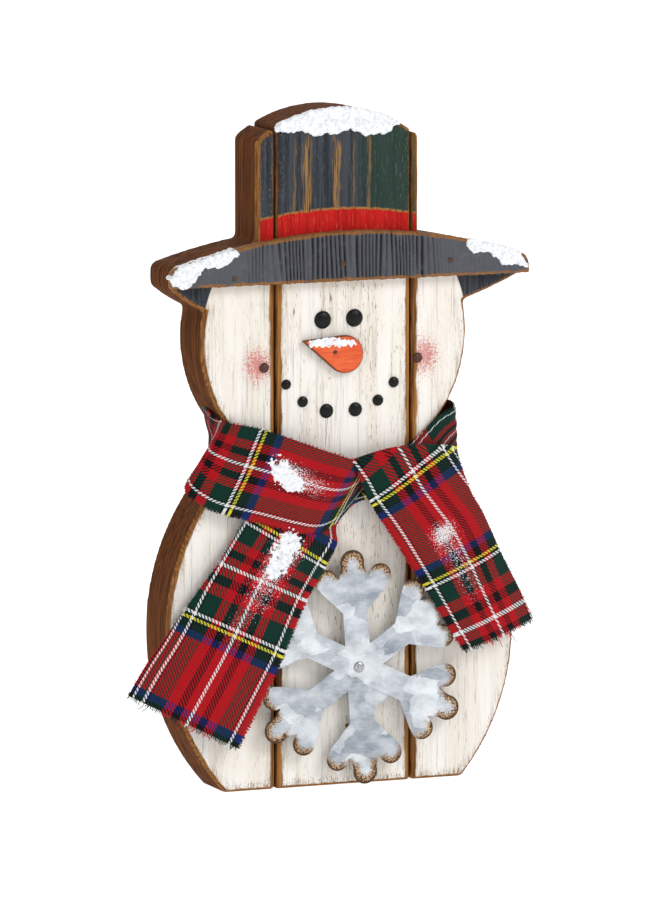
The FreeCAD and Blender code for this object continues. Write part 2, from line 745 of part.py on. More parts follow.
# ---------------------------------------------------------------- dried snow paste
def snow_paste():
    """Make the skins of paste on the crown, on both ends of the brim and on the nose."""
    top = ("upper", "crown_arc_x", "crown_arc_z", "crown_arc_radius")
    body = padded_body("crown_paste", [("y", "paste_crown_low"), ("x", "paste_crown_right"),
                                       top, ("x", "paste_crown_left")],
                       "sizes.paste_thick", "One side")
    finish_node(body, "snow_crown", (0, size("board_front"), 0))

    strip = ("upper", "strip_top_centre_x", "strip_top_centre_z", "strip_top_radius")
    for side in ("left", "right"):
        cells = [f"paste_brim_{side}_{part}" for part in ("low", "end", "start")]
        body = padded_body(f"brim_paste_{side}", [("y", cells[0]), ("x", cells[1]), strip,
                                                  ("x", cells[2])],
                           "sizes.paste_thick", "One side")
        finish_node(body, f"snow_brim_{side}", (0, size("board_front") - size("strip_thick"), 0))

    dab = doc.addObject("Part::Box", "nose_paste")
    bind(dab, Length="sizes.paste_nose_length", Width="sizes.paste_thick / 2",
         Height="sizes.paste_nose_height")
    skin = size("board_front") - size("nose_gap") - size("nose_thick") - size("paste_thick") / 2
    turn = FreeCAD.Rotation(V(0, 1, 0), size("paste_nose_turn"))
    finish_node(dab, "snow_nose", (size("paste_nose_x"), skin, size("paste_nose_z")), turn)


planks()
hat_brim()
back_battens()
domed_nails()
front_nail()
brads()
nose()
snowflake()
flake_mount()
scarf()
scarf_staple()
snow_paste()
doc.recompute()

for item in doc.Objects:
    if "Invalid" in item.State or "Error" in item.State:
        raise RuntimeError(f"{item.Label} did not build: {item.State}")
for item in nodes:
    if item.Shape.isNull() or not item.Shape.isValid() or not item.Shape.Solids:
        raise RuntimeError(f"{item.Label} has no valid shape")

os.makedirs("parts", exist_ok=True)
for item in nodes:
    item.Shape.exportStep(f"parts/{item.Label}.step")
    print(item.Label, len(item.Shape.Solids), round(item.Shape.Volume, 1))
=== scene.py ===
"""Plank snowman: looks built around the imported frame. Lengths are in millimetres, which M()
and MM turn into Blender's metres. Only the camera and the studio are laid out in metres."""

import math

import bmesh
import bpy
import numpy as np
from mathutils import Matrix, Vector, kdtree, noise
from mathutils.bvhtree import BVHTree
from mathutils.geometry import delaunay_2d_cdt


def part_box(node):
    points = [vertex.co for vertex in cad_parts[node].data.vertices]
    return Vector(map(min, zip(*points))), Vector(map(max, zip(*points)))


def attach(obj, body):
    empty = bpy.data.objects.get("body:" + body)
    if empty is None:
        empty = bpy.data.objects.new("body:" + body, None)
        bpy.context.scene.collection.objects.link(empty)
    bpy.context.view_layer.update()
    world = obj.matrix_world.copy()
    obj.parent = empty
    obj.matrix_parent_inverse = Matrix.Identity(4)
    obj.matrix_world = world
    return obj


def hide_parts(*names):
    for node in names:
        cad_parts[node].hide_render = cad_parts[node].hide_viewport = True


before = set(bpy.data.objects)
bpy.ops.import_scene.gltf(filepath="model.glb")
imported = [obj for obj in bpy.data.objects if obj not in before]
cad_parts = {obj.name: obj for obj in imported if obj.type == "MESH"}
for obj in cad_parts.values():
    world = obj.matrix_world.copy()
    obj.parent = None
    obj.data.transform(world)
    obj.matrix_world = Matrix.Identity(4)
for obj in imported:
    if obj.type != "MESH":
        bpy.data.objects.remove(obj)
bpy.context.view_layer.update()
MM = 0.001


def M(*point):
    return Vector(point) * MM


def box_mm(node):
    """Return a node's lowest and highest corners in millimetres."""
    low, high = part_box(node)
    return low / MM, high / MM


# -------- driving values
BOARDS = ("board_left", "board_centre", "board_right")
BOARD_LOW, BOARD_HIGH = box_mm("board_centre")
FACE = BOARD_LOW.y                      # the planks' painted front
BACK = BOARD_HIGH.y
STRIP_LOW, STRIP_HIGH = box_mm("hat_brim")
FLAKE_LOW, FLAKE_HIGH = box_mm("snowflake")
FLAKE_NAIL_LOW, FLAKE_NAIL_HIGH = box_mm("flake_nail")
FLAKE_CENTRE = (FLAKE_NAIL_LOW + FLAKE_NAIL_HIGH) / 2
HEAD_CENTRE = (-4.8, 203.0)
HEAD_RADIUS = 63.5
BAND_LOW = 247.0                        # the painted red hat band, at the middle
BAND_HIGH = 260.1


# -------- camera
def make_camera():
    """Look from the left and a little above, through a long lens; in metres but the target."""
    target = M(-7.2, FACE, 151.9)
    azimuth = math.radians(22.0)
    elevation = math.radians(8.0)
    distance = 4.0
    view_height = 0.4014
    aim = Vector((-math.sin(azimuth) * math.cos(elevation),
                  -math.cos(azimuth) * math.cos(elevation), math.sin(elevation)))
    data = bpy.data.cameras.new("camera")
    data.sensor_width = 36.0
    data.lens = data.sensor_width * distance / view_height
    data.clip_end = 20.0
    camera = bpy.data.objects.new("camera", data)
    camera.location = target + aim * distance
    camera.rotation_euler = aim.to_track_quat("Z", "Y").to_euler()
    bpy.context.scene.collection.objects.link(camera)
    bpy.context.scene.camera = camera


# -------- mesh helpers
def add_object(name, mesh):
    piece = bpy.data.objects.new(name, mesh)
    bpy.context.scene.collection.objects.link(piece)
    return piece


def shade_smooth(piece):
    mesh = piece.data
    mesh.polygons.foreach_set("use_smooth", [True] * len(mesh.polygons))
    return piece


def mesh_from(name, points, faces):
    mesh = bpy.data.meshes.new(name)
    mesh.from_pydata([M(*p) for p in points], [], faces)
    mesh.update()
    return shade_smooth(add_object(name, mesh))


def mesh_of(bm, name):
    """Turn a bmesh into an object and free it."""
    mesh = bpy.data.meshes.new(name)
    bm.to_mesh(mesh)
    bm.free()
    return add_object(name, mesh)


def applied(piece, kind, **settings):
    """Add a modifier, apply it, and return the piece."""
    modifier = piece.modifiers.new(kind.lower(), kind)
    for key, value in settings.items():
        setattr(modifier, key, value)
    depsgraph = bpy.context.evaluated_depsgraph_get()
    mesh = bpy.data.meshes.new_from_object(piece.evaluated_get(depsgraph))
    piece.modifiers.clear()
    old = piece.data
    piece.data = mesh
    mesh.name = piece.name
    if old.users == 0:
        bpy.data.meshes.remove(old)
    return piece


def remeshed(piece, voxel, rounds):
    """Give a piece small even faces, then smooth its edges."""
    applied(piece, "REMESH", mode="VOXEL", voxel_size=voxel * MM, use_smooth_shade=True)
    return applied(piece, "SMOOTH", factor=0.5, iterations=rounds)


def copy_of(node, name):
    """Copy a CAD node's mesh into a new object."""
    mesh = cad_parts[node].data.copy()
    mesh.materials.clear()
    return add_object(name, mesh)


def vertex_vectors(piece, what):
    flat = np.zeros(len(piece.data.vertices) * 3, np.float32)
    piece.data.vertices.foreach_get(what, flat)
    return flat.reshape(-1, 3).astype(float)


def points_mm(piece):
    return vertex_vectors(piece, "co") / MM


def normals(piece):
    return vertex_vectors(piece, "normal")


def set_points_mm(piece, points):
    piece.data.vertices.foreach_set("co", (points * MM).astype(np.float32).ravel())
    piece.data.update()


def set_fields(piece, **fields):
    """Store each list as a named value for each point, which materials can read."""
    for name, values in fields.items():
        field = piece.data.attributes.new(name, "FLOAT", "POINT")
        field.data.foreach_set("value", np.asarray(values, np.float32))


def smooth_noise(points, scale, seed=0.0):
    """Return one value in about -1..1 for each point, for features about `scale` mm wide."""
    sx, sy, sz = scale if hasattr(scale, "__len__") else (scale,) * 3
    return np.array([noise.noise(Vector((p[0] / sx + seed, p[1] / sy - seed, p[2] / sz + seed)))
                     for p in points]) * 2.0


def step_up(x, low, high):
    t = np.clip((x - low) / (high - low), 0, 1)
    return t * t * (3 - 2 * t)


def rim_samples(node, spacing=0.6):
    """Sample the outline of a flat CAD node, on its back face, as (x, z) points."""
    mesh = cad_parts[node].data
    back = box_mm(node)[1].y
    count = {}
    on_back = [abs(v.co.y / MM - back) < 0.02 for v in mesh.vertices]
    key = [(round(v.co.x / MM, 3), round(v.co.z / MM, 3)) for v in mesh.vertices]
    for face in mesh.polygons:
        if not all(on_back[i] for i in face.vertices):
            continue
        ring = [key[i] for i in face.vertices]
        for a, b in zip(ring, ring[1:] + ring[:1]):
            pair = (min(a, b), max(a, b))
            count[pair] = count.get(pair, 0) + 1
    samples = []
    for (a, b), uses in count.items():
        if uses != 1:
            continue
        steps = max(1, int(math.dist(a, b) / spacing))
        for i in range(steps + 1):
            t = i / steps
            samples.append((a[0] + (b[0] - a[0]) * t, a[1] + (b[1] - a[1]) * t))
    return samples


def flat_tree(points):
    tree = kdtree.KDTree(len(points))
    for i, (x, y) in enumerate(points):
        tree.insert((x, y, 0), i)
    tree.balance()
    return tree


def distances(points, samples):
    """Return each point's distance in the XZ plane to the nearest sample."""
    tree = flat_tree(samples)
    return np.array([tree.find((p[0], p[2], 0))[2] for p in points])


def dress(piece, material):
    piece.data.materials.clear()
    piece.data.materials.append(material)


def finish_piece(piece, material, slot, *nodes, body="figure"):
    """Dress a piece, attach it to its body and hide the CAD nodes that it stands for; slot is not
    used.
    """
    dress(piece, material)
    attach(piece, body)
    if nodes:
        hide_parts(*nodes)
    return piece


# -------- material helpers
def linear(*rgb):
    """Turn a 0-255 display colour into a linear one with full alpha."""
    return tuple(c / 12.92 if c <= 0.04045 else ((c + 0.055) / 1.055) ** 2.4
                 for c in (v / 255 for v in rgb)) + (1.0,)


class Paint:
    """A small builder for one procedural material."""

    def __init__(self, name, **shader):
        self.material = bpy.data.materials.new(name)
        self.material.use_nodes = True
        self.tree = self.material.node_tree
        self.shader = self.tree.nodes["Principled BSDF"]
        for key, value in shader.items():
            self.shader.inputs[key.replace("_", " ")].default_value = value
        self.place = self.node("ShaderNodeTexCoord").outputs["Object"]

    def node(self, kind, **settings):
        made = self.tree.nodes.new(kind)
        for key, value in settings.items():
            setattr(made, key, value)
        return made

    def feed(self, socket, value):
        if isinstance(value, bpy.types.NodeSocket):
            self.tree.links.new(value, socket)
        else:
            socket.default_value = value

    def maths(self, operation, *values):
        made = self.node("ShaderNodeMath", operation=operation)
        for socket, value in zip(made.inputs, values):
            self.feed(socket, value)
        return made.outputs[0]

    def add(self, a, b):
        return self.maths("ADD", a, b)

    def times(self, a, b):
        return self.maths("MULTIPLY", a, b)

    def minus(self, a, b):
        return self.maths("SUBTRACT", a, b)

    def larger(self, a, b):
        return self.maths("MAXIMUM", a, b)

    def smaller(self, a, b):
        return self.maths("MINIMUM", a, b)

    def absolute(self, a):
        return self.maths("ABSOLUTE", a)

    def length(self, a, b):
        return self.maths("SQRT", self.add(self.times(a, a), self.times(b, b)))

    def vector(self, operation, a, b):
        made = self.node("ShaderNodeVectorMath", operation=operation)
        self.feed(made.inputs[0], a)
        self.feed(made.inputs[1], b)
        return made.outputs[0]

    def between(self, value, low, high, start=0.0, end=1.0):
        """Map value smoothly from low..high to start..end."""
        made = self.node("ShaderNodeMapRange", interpolation_type="SMOOTHSTEP")
        for key, number in (("Value", value), ("From Min", low), ("From Max", high),
                            ("To Min", start), ("To Max", end)):
            self.feed(made.inputs[key], number)
        return made.outputs["Result"]

    def mix(self, share, a, b, blend="MIX"):
        made = self.node("ShaderNodeMix", data_type="RGBA", blend_type=blend)
        made.clamp_factor = True
        self.feed(made.inputs["Factor"], share)
        self.feed(made.inputs["A"], a)
        self.feed(made.inputs["B"], b)
        return made.outputs["Result"]

    def tint(self, value, low, high, under, over, most=1.0):
        """Lay a colour over another, from none to most, as value runs from low to high."""
        return self.mix(self.between(value, low, high, 0.0, most), under, over)

    def stretched(self, size, place=None):
        """Return the object coordinates divided by a feature size in millimetres."""
        x, y, z = size if hasattr(size, "__len__") else (size,) * 3
        return self.vector("MULTIPLY", place or self.place, (1 / (MM * x), 1 / (MM * y),
                                                             1 / (MM * z)))

    def texture(self, kind, size, place=None, **values):
        made = self.node(kind)
        self.feed(made.inputs["Vector"], self.stretched(size, place))
        for key, value in values.items():
            made.inputs[key].default_value = value
        return made.outputs

    def noise(self, size, detail=3.0, rough=0.55, place=None, output="Fac"):
        """Noise whose features are size millimetres across, about 0..1."""
        return self.texture("ShaderNodeTexNoise", size, place, Scale=1.0, Detail=detail,
                            Roughness=rough)[output]

    def field(self, name):
        return self.node("ShaderNodeAttribute", attribute_name=name).outputs["Fac"]

    def axes(self):
        """Return x, y and z in millimetres."""
        made = self.node("ShaderNodeSeparateXYZ")
        self.feed(made.inputs[0], self.stretched(1))
        return tuple(made.outputs)

    def facing(self):
        """Return the object-space normal's y: -1 on the front, 1 on the back."""
        coords = self.node("ShaderNodeTexCoord").outputs["Normal"]
        made = self.node("ShaderNodeSeparateXYZ")
        self.feed(made.inputs[0], coords)
        return made.outputs[1]

    def steps(self, value, stops):
        """Return a ramp of flat colour bands: (start in 0..1, colour)."""
        made = self.node("ShaderNodeValToRGB")
        self.feed(made.inputs[0], value)
        ramp = made.color_ramp
        ramp.interpolation = "CONSTANT"
        for i, (position, colour) in enumerate(stops):
            band = ramp.elements[i] if i < 2 else ramp.elements.new(position)
            band.position = position
            band.color = colour
        return made.outputs["Color"]

    def bump(self, height, depth_mm, strength=1.0):
        made = self.node("ShaderNodeBump")
        made.inputs["Strength"].default_value = strength
        made.inputs["Distance"].default_value = depth_mm * MM
        self.feed(made.inputs["Height"], height)
        self.tree.links.new(made.outputs[0], self.shader.inputs["Normal"])

    def done(self, colour, rough=None):
        self.feed(self.shader.inputs["Base Color"], colour)
        if rough is not None:
            self.feed(self.shader.inputs["Roughness"], rough)
        return self.material


# -------- wood materials
CREAM = linear(236, 232, 226)
CREAM_WARM = linear(229, 222, 211)
GRAIN_GREY = linear(146, 136, 122)
WALNUT = linear(114, 66, 32)
WALNUT_DARK = linear(60, 32, 16)
SANDED = linear(164, 114, 62)
STAIN = linear(88, 54, 30)
SLATE = linear(66, 70, 76)
SLATE_DARK = linear(44, 48, 54)
SLATE_GREEN = linear(40, 62, 50)
OLIVE = linear(112, 96, 42)
BAND_RED = linear(188, 34, 32)
BARE_WOOD = linear(150, 112, 62)
BLUSH = linear(186, 52, 50)
PLANK_VOXEL = 1.15
# each bare streak is (x, half width, strength) and each blush (x, z, half width, half height)
BARE_STREAKS = ((-24.0, 0.7, 0.45), (-18.4, 2.3, 1.0), (-3.8, 1.9, 1.0), (4.2, 0.6, 0.4),
                (11.6, 1.0, 0.6))
BLUSHES = ((-42.0, 191.5, 13.5, 16.0), (38.0, 192.5, 13.5, 17.0))


def body_paint(p, x, z, grain):
    """Whitewash, thin over the grain, with a drip of stain and sprayed cheeks."""
    broad, lines, fine, dash, worn = grain
    cream = p.tint(broad, 0.35, 0.7, CREAM, CREAM_WARM)
    thin = p.times(p.between(lines, 0.50, 0.70), p.between(fine, 0.40, 0.62))
    body = p.mix(p.times(thin, 0.55), cream, GRAIN_GREY)
    middle = p.between(p.absolute(p.add(x, 2.4)), 36.0, 26.0, 0.35, 0.9)
    dashes = p.times(p.between(dash, 0.61, 0.68), p.between(broad, 0.36, 0.62))
    body = p.mix(p.times(dashes, middle), body, linear(128, 112, 92))
    streaks = p.times(p.between(p.noise((3.2, 40, 90), 3, 0.6), 0.52, 0.68),
                      p.between(fine, 0.34, 0.62))
    body = p.mix(p.times(p.times(streaks, middle), 0.45), body, linear(150, 138, 120))
    spots = p.times(p.between(worn, 0.66, 0.75), p.between(fine, 0.42, 0.58))
    body = p.mix(p.times(spots, 0.8), body, STAIN)
    across = p.absolute(p.add(x, 8.7))
    drip = p.times(p.between(across, 2.2, 0.3), p.between(z, 150.0, 158.0))
    drip = p.times(drip, p.between(z, 169.0, 164.0))
    body = p.mix(p.times(drip, p.between(fine, 0.44, 0.54)), body, linear(120, 84, 52))
    dots = p.noise(0.85, 3, 0.7)
    for cx, cz, half_x, half_z in BLUSHES:
        dx = p.times(p.minus(x, cx), 1 / half_x)
        dz = p.times(p.minus(z, cz), 1 / half_z)
        reach = p.length(dx, dz)
        density = p.between(reach, 1.0, 0.0)
        limit = p.minus(0.70, p.times(density, 0.30))
        spray = p.times(p.between(p.minus(dots, limit), 0.0, 0.05), p.between(reach, 1.05, 0.9))
        mist = p.times(p.times(density, density), 0.34)
        body = p.mix(p.larger(p.times(spray, 0.7), mist), body, BLUSH)
    return body


def hat_paint(p, x, z, grain):
    """Slate, green towards the right, rubbed to bare wood in streaks, and the red band."""
    _, lines, fine, dash, worn = grain
    slate = p.tint(lines, 0.36, 0.66, SLATE_DARK, SLATE)
    green = p.times(p.between(x, -2.0, 20.0), p.between(z, 240.0, 246.0, 0.0, 0.75))
    slate = p.mix(green, slate, SLATE_GREEN)
    corner = p.times(p.between(x, 32.0, 32.3), p.between(z, 256.0, 262.0))
    slate = p.mix(corner, slate, p.mix(fine, OLIVE, SLATE_DARK))
    for sx, half, strength in BARE_STREAKS:
        sway = p.times(p.minus(p.noise((2, 9, 8), 3), 0.5), 3.4)
        off = p.absolute(p.add(p.minus(x, sx), sway))
        streak = p.between(off, half * 1.3, half * 0.3)
        ends = p.between(p.add(z, p.times(lines, 16.0)), 304.0, 296.0)
        share = p.times(p.times(streak, ends), p.between(fine, 0.40, 0.58, 0.0, strength))
        slate = p.mix(share, slate, BARE_WOOD)
    slate = p.tint(dash, 0.60, 0.70, slate, linear(104, 106, 104), 0.45)
    slate = p.tint(worn, 0.70, 0.78, slate, BARE_WOOD, 0.6)
    waver = p.times(p.minus(p.noise(5, 2), 0.5), 1.6)
    band_z = p.add(z, p.add(waver, p.times(p.times(p.add(x, 4.0), p.add(x, 4.0)), 0.0025)))
    in_band = p.times(p.between(band_z, BAND_LOW - 0.4, BAND_LOW),
                      p.between(band_z, BAND_HIGH + 0.3, BAND_HIGH - 0.3))
    red = p.tint(lines, 0.42, 0.72, BAND_RED, linear(150, 26, 24))
    red = p.tint(dash, 0.60, 0.68, red, linear(206, 86, 62), 0.5)
    hat = p.mix(in_band, slate, red)
    bare_line = p.times(p.between(band_z, BAND_HIGH - 0.7, BAND_HIGH),
                        p.between(band_z, BAND_HIGH + 0.9, BAND_HIGH + 0.2))
    return p.mix(p.times(bare_line, p.between(fine, 0.36, 0.5)), hat, BARE_WOOD)


def plank_material(name, shift):
    """Whitewashed plank: body paint, slate hat, red band, worn and stained edges."""
    p = Paint(name, Roughness=0.8, Specular_IOR_Level=0.03)
    x, y, z = p.axes()
    rim = p.field("rim")
    gap = p.field("gap")
    place = p.vector("ADD", p.place, (shift * MM, 0, shift * 3 * MM))
    broad = p.noise((9, 20, 60), 2, 0.5, place)
    lines = p.noise((1.4, 10, 60), 4, 0.62, place)
    fine = p.noise((0.5, 6, 13), 4, 0.6, place)
    dash = p.noise((0.5, 3, 4.5), 2, 0.5, place)
    speck = p.noise((0.45, 1.2, 1.3), 2, 0.5, place)
    near_foot = p.between(z, 12.0, 0.0, 0.0, 0.09)
    near_edge = p.between(p.smaller(rim, gap), 8.0, 1.0, 0.0, 0.17)
    worn = p.add(p.times(speck, 0.9), p.add(near_foot, near_edge))
    grain = (broad, lines, fine, dash, worn)
    body = body_paint(p, x, z, grain)
    hat = hat_paint(p, x, z, grain)
    dx = p.minus(x, HEAD_CENTRE[0])
    dz = p.minus(z, HEAD_CENTRE[1])
    from_head = p.length(dx, dz)
    beyond = p.times(p.between(from_head, HEAD_RADIUS - 0.2, HEAD_RADIUS + 0.4),
                     p.between(z, 205.0, 206.0))
    on_hat = p.larger(beyond, p.between(z, STRIP_LOW.z - 0.5, STRIP_LOW.z + 0.5))
    front = p.mix(on_hat, body, hat)

    # edges: stain beside the saw cuts, sanded bare wood round the outline
    wobble = p.times(p.minus(p.noise((2.5, 4, 9), 3), 0.5), 2.4)
    smoke = p.between(p.add(p.smaller(gap, rim), p.times(wobble, 1.5)), 5.5, 1.5)
    smoke = p.times(p.times(smoke, p.between(fine, 0.36, 0.6)), p.between(broad, 0.3, 0.7))
    front = p.mix(p.times(smoke, p.between(on_hat, 0.0, 1.0, 0.6, 0.0)), front,
                  linear(136, 108, 80))
    from_gap = p.add(p.add(gap, wobble), p.times(on_hat, 1.9))
    gap_colour = p.tint(lines, 0.35, 0.65, STAIN, SANDED)
    front = p.tint(from_gap, 2.8, 1.9, front, gap_colour)
    from_rim = p.add(rim, p.times(wobble, 0.5))
    front = p.tint(from_rim, 1.7, 1.0, front, p.tint(fine, 0.3, 0.7, STAIN, SANDED))

    # sides and back: walnut stain, sanded pale where the front edge was rubbed
    side = p.tint(p.noise((3, 1.3, 44), 4, 0.6), 0.3, 0.72, WALNUT_DARK, WALNUT)
    side = p.tint(p.noise((2, 1.0, 16), 3), 0.62, 0.8, side, SANDED, 0.4)
    rubbed_side = p.between(p.add(y, p.times(wobble, 0.6)), FACE + 3.9, FACE + 2.4)
    side = p.mix(rubbed_side, side, p.tint(fine, 0.3, 0.7, SANDED, STAIN))
    is_front = p.between(p.facing(), -0.45, -0.75)
    colour = p.mix(is_front, side, front)
    p.bump(p.add(p.times(fine, 0.5), p.times(lines, 0.8)), 0.6, 0.7)
    return p.done(colour, p.between(broad, 0.2, 0.8, 0.7, 0.86))


def make_board(node, shift):
    """Copy a plank, wear its front edges, and give its face a faint grain."""
    board = copy_of(node, "worn_" + node)
    remeshed(board, PLANK_VOXEL, 4)
    samples = rim_samples(node)
    low, high = box_mm(node)
    inner = {"board_left": (high.x,), "board_right": (low.x,),
             "board_centre": (low.x, high.x)}[node]
    at_gap = [min(abs(s[0] - x) for x in inner) < 0.08 for s in samples]
    gap = [s for s, yes in zip(samples, at_gap) if yes]
    rim = [s for s, yes in zip(samples, at_gap) if not yes]
    points = points_mm(board)
    rim_far = distances(points, rim)
    gap_far = distances(points, gap)
    nearest = np.minimum(rim_far, gap_far + 0.9)    # the gaps are worn less than the rim
    patch = smooth_noise(points, (6, 9, 14), shift)
    small = smooth_noise(points, (1.8, 3, 6), shift + 7)
    reach = 1.6 + 0.6 * patch
    depth = np.clip(1 - nearest / np.maximum(reach, 0.5), 0, 1) ** 2 * (0.7 + 0.25 * patch)
    front = step_up(-points[:, 1], -FACE - 3.0, -FACE - 0.4)
    points[:, 1] += front * depth
    relief = smooth_noise(points, (1.3, 30, 40), shift + 3) * 0.06
    points[:, 1] += front * (relief + small * 0.03)
    outward = normals(board)
    sides = 1 - np.clip(np.abs(outward[:, 1]) * 1.5, 0, 1)
    edge_nick = np.clip(small - 0.45, 0, 1) * 0.25 * front
    for axis in (0, 2):
        points[:, axis] -= outward[:, axis] * sides * edge_nick
    points[:, 2] = np.maximum(points[:, 2], 0.0)
    set_points_mm(board, points)
    set_fields(board, rim=np.minimum(rim_far, 30), gap=np.minimum(gap_far, 30))
    return finish_piece(board, plank_material("paint_" + node, shift), "painted_plank", node)


# -------- hat brim
def brim_material():
    p = Paint("brim_paint", Roughness=0.75, Specular_IOR_Level=0.25)
    ridge = p.field("ridge")
    rim = p.field("rim")
    fine = p.noise((0.5, 3, 3.0), 3)
    patch = p.noise((7, 7, 5), 3, 0.6)
    # painted shade: the slate turns near black down in the saw grooves
    slate = p.tint(ridge, -1.0, -0.15, linear(16, 16, 19), linear(80, 81, 87))
    slate = p.tint(fine, 0.5, 0.7, slate, linear(56, 58, 64), 0.4)
    slate = p.tint(patch, 0.55, 0.75, slate, linear(96, 99, 104), 0.35)
    worn = p.add(p.between(rim, 3.4, 0.8), p.times(p.minus(patch, 0.5), 1.3))
    worn = p.add(worn, p.times(p.minus(fine, 0.5), 0.5))
    colour = p.tint(worn, 0.72, 0.95, slate, p.mix(fine, SANDED, STAIN))
    side = p.mix(fine, STAIN, SANDED)
    colour = p.tint(p.facing(), -0.3, -0.6, p.mix(0.1, side, slate), colour)
    p.bump(p.add(p.times(ridge, 0.5), fine), 0.35, 0.6)
    return p.done(colour)


def make_brim():
    """Rough-sawn strip: upright saw ridges, close in the middle and faint near the ends."""
    brim = copy_of("hat_brim", "ridged_brim")
    remeshed(brim, 0.55, 3)
    points = points_mm(brim)
    sway = 0.9 * smooth_noise(points, (9, 30, 44), 2) + 0.03 * (points[:, 2] - STRIP_LOW.z)
    stretch = 0.35 * smooth_noise(points, (14, 60, 200), 8)
    phase = (points[:, 0] + sway) / 2.1 + stretch * 2.2
    groove = np.abs(np.sin(math.pi * phase)) ** 1.1
    strength = np.clip(0.95 + 0.7 * smooth_noise(points, (4, 50, 40), 31), 0.2, 1)
    middle = step_up(points[:, 0], -58, -34) * (1 - step_up(points[:, 0], 34, 48))
    strength *= 0.22 + 0.78 * middle
    ridge = (groove - 1) * strength * 1.25
    gouge = smooth_noise(points, (9, 50, 5), 17) * (1 - middle)
    rim = distances(points, rim_samples("hat_brim"))
    front = step_up(-points[:, 1], -STRIP_LOW.y - 2.2, -STRIP_LOW.y - 0.4)
    lift = 0.95 * ridge + 0.34 * gouge
    rounded = np.clip(1 - rim / 1.2, 0, 1) ** 2 * 0.6
    points[:, 1] -= front * (np.minimum(lift, 0.3) - rounded)
    nick = smooth_noise(points, (1.4, 8, 8), 21) * 0.22 * np.clip(1 - rim / 2.0, 0, 1)
    points[:, 2] += nick
    set_points_mm(brim, points)
    set_fields(brim, ridge=ridge, rim=rim)
    return finish_piece(brim, brim_material(), "hat_paint", "hat_brim")


# -------- nose
def nose_material():
    p = Paint("carrot_paint", Roughness=0.55, Specular_IOR_Level=0.3)
    streak = p.noise((7, 4, 0.8), 4, 0.6)
    orange = p.tint(streak, 0.35, 0.7, linear(206, 78, 36), linear(226, 102, 52))
    orange = p.tint(streak, 0.62, 0.8, orange, linear(236, 146, 104))
    rim = p.field("rim")
    orange = p.tint(rim, 0.9, 0.25, orange, linear(120, 54, 26))
    edge = p.mix(p.noise(1), linear(70, 38, 22), linear(120, 66, 34))
    colour = p.tint(p.facing(), -0.3, -0.6, edge, orange)
    p.bump(streak, 0.2, 0.4)
    return p.done(colour)


def make_nose():
    nose = copy_of("nose", "carrot_nose")
    remeshed(nose, 0.4, 3)
    points = points_mm(nose)
    rim = distances(points, rim_samples("nose", 0.3))
    low = box_mm("nose")[0]
    front = step_up(-points[:, 1], -low.y - 1.8, -low.y - 0.3)
    points[:, 1] += front * np.clip(1 - rim / 1.1, 0, 1) ** 2 * 0.8
    points[:, 1] += front * 0.12 * smooth_noise(points, (6, 6, 1.5), 4)
    set_points_mm(nose, points)
    set_fields(nose, rim=rim)
    return finish_piece(nose, nose_material(), "carrot_paint", "nose")


# -------- domed nails
def turned(name, profile, centre, sides=48):
    """Spin a profile of (radius, height towards the viewer) points about the Y axis."""
    points = []
    faces = []
    for i, (radius, height) in enumerate(profile):
        for k in range(sides):
            a = 2 * math.pi * k / sides
            points.append((centre[0] + radius * math.cos(a), centre[1] - height,
                           centre[2] + radius * math.sin(a)))
            if i:
                before = (i - 1) * sides
                here = i * sides
                nxt = (k + 1) % sides
                faces.append((before + k, here + k, here + nxt, before + nxt))
    faces.append(tuple(range(sides)))
    faces.append(tuple(reversed(range((len(profile) - 1) * sides, len(profile) * sides))))
    piece = mesh_from(name, points, faces)
    bm = bmesh.new()
    bm.from_mesh(piece.data)
    bmesh.ops.recalc_face_normals(bm, faces=bm.faces)
    bm.to_mesh(piece.data)
    bm.free()
    return piece


def dome_profile(radius, height, shank, length):
    """A shank, a rolled rim and a dome, from the point to the crown."""
    profile = [(0.02, -length), (shank * 0.6, -length + 1.0), (shank, -length + 2.2),
               (shank, 0.02), (radius * 0.93, 0.02)]
    profile += [(radius, 0.10 * height + 0.05)]
    for i in range(1, 13):
        a = math.pi / 2 * i / 12
        profile.append((max(radius * math.cos(a), 0.03),
                        0.12 * height + 0.88 * height * math.sin(a)))
    return profile


def enamel_material():
    p = Paint("black_enamel", Roughness=0.3, Specular_IOR_Level=0.2)
    speck = p.noise(0.5, 3)
    # painted reflection: greenish glints laid into the black enamel's colour
    painted_glint = p.between(p.noise(0.9, 3), 0.60, 0.72)
    colour = p.mix(p.times(painted_glint, 0.35), linear(10, 11, 13), linear(58, 88, 78))
    p.bump(speck, 0.16, 0.5)
    return p.done(colour, p.between(speck, 0.3, 0.7, 0.22, 0.42))


def aged_material():
    p = Paint("aged_nail", Roughness=0.5, Metallic=0.35)
    rust = p.noise(0.7, 4)
    colour = p.tint(rust, 0.35, 0.7, linear(50, 28, 24), linear(104, 58, 46))
    p.bump(rust, 0.15, 0.6)
    return p.done(colour)


def make_domes():
    enamel = enamel_material()
    aged = aged_material()
    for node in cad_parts:
        eye = node.startswith("eye")
        cheek = node.startswith("cheek")
        if not (eye or cheek or node.startswith("mouth")):
            continue
        low, high = box_mm(node)
        centre = ((low.x + high.x) / 2, FACE, (low.z + high.z) / 2)
        radius = (high.x - low.x) / 2
        height = FACE - low.y
        profile = dome_profile(radius, height, 0.8, high.y - FACE)
        piece = turned("nail_" + node, profile, centre)
        points = points_mm(piece)
        dents = smooth_noise(points, 1.3, centre[0]) * 0.05
        points[:, 1] += dents * (points[:, 1] < FACE - 0.3)
        set_points_mm(piece, points)
        material, slot = (aged, "aged_nail") if cheek else (enamel, "black_enamel")
        finish_piece(piece, material, slot, node)


# -------- snowflake
ARM_HALF = 5.9
FLARE_START = 25.0
PALM_HALF = 15.3
SIDE_LOBE = (12.9, 40.4, 5.3)
TIP_LOBE = (0.0, 47.6, 5.7)
NOTCH = ((7.0, 40.7), (5.9, 43.6))
FLAKE_TURN = 3.8


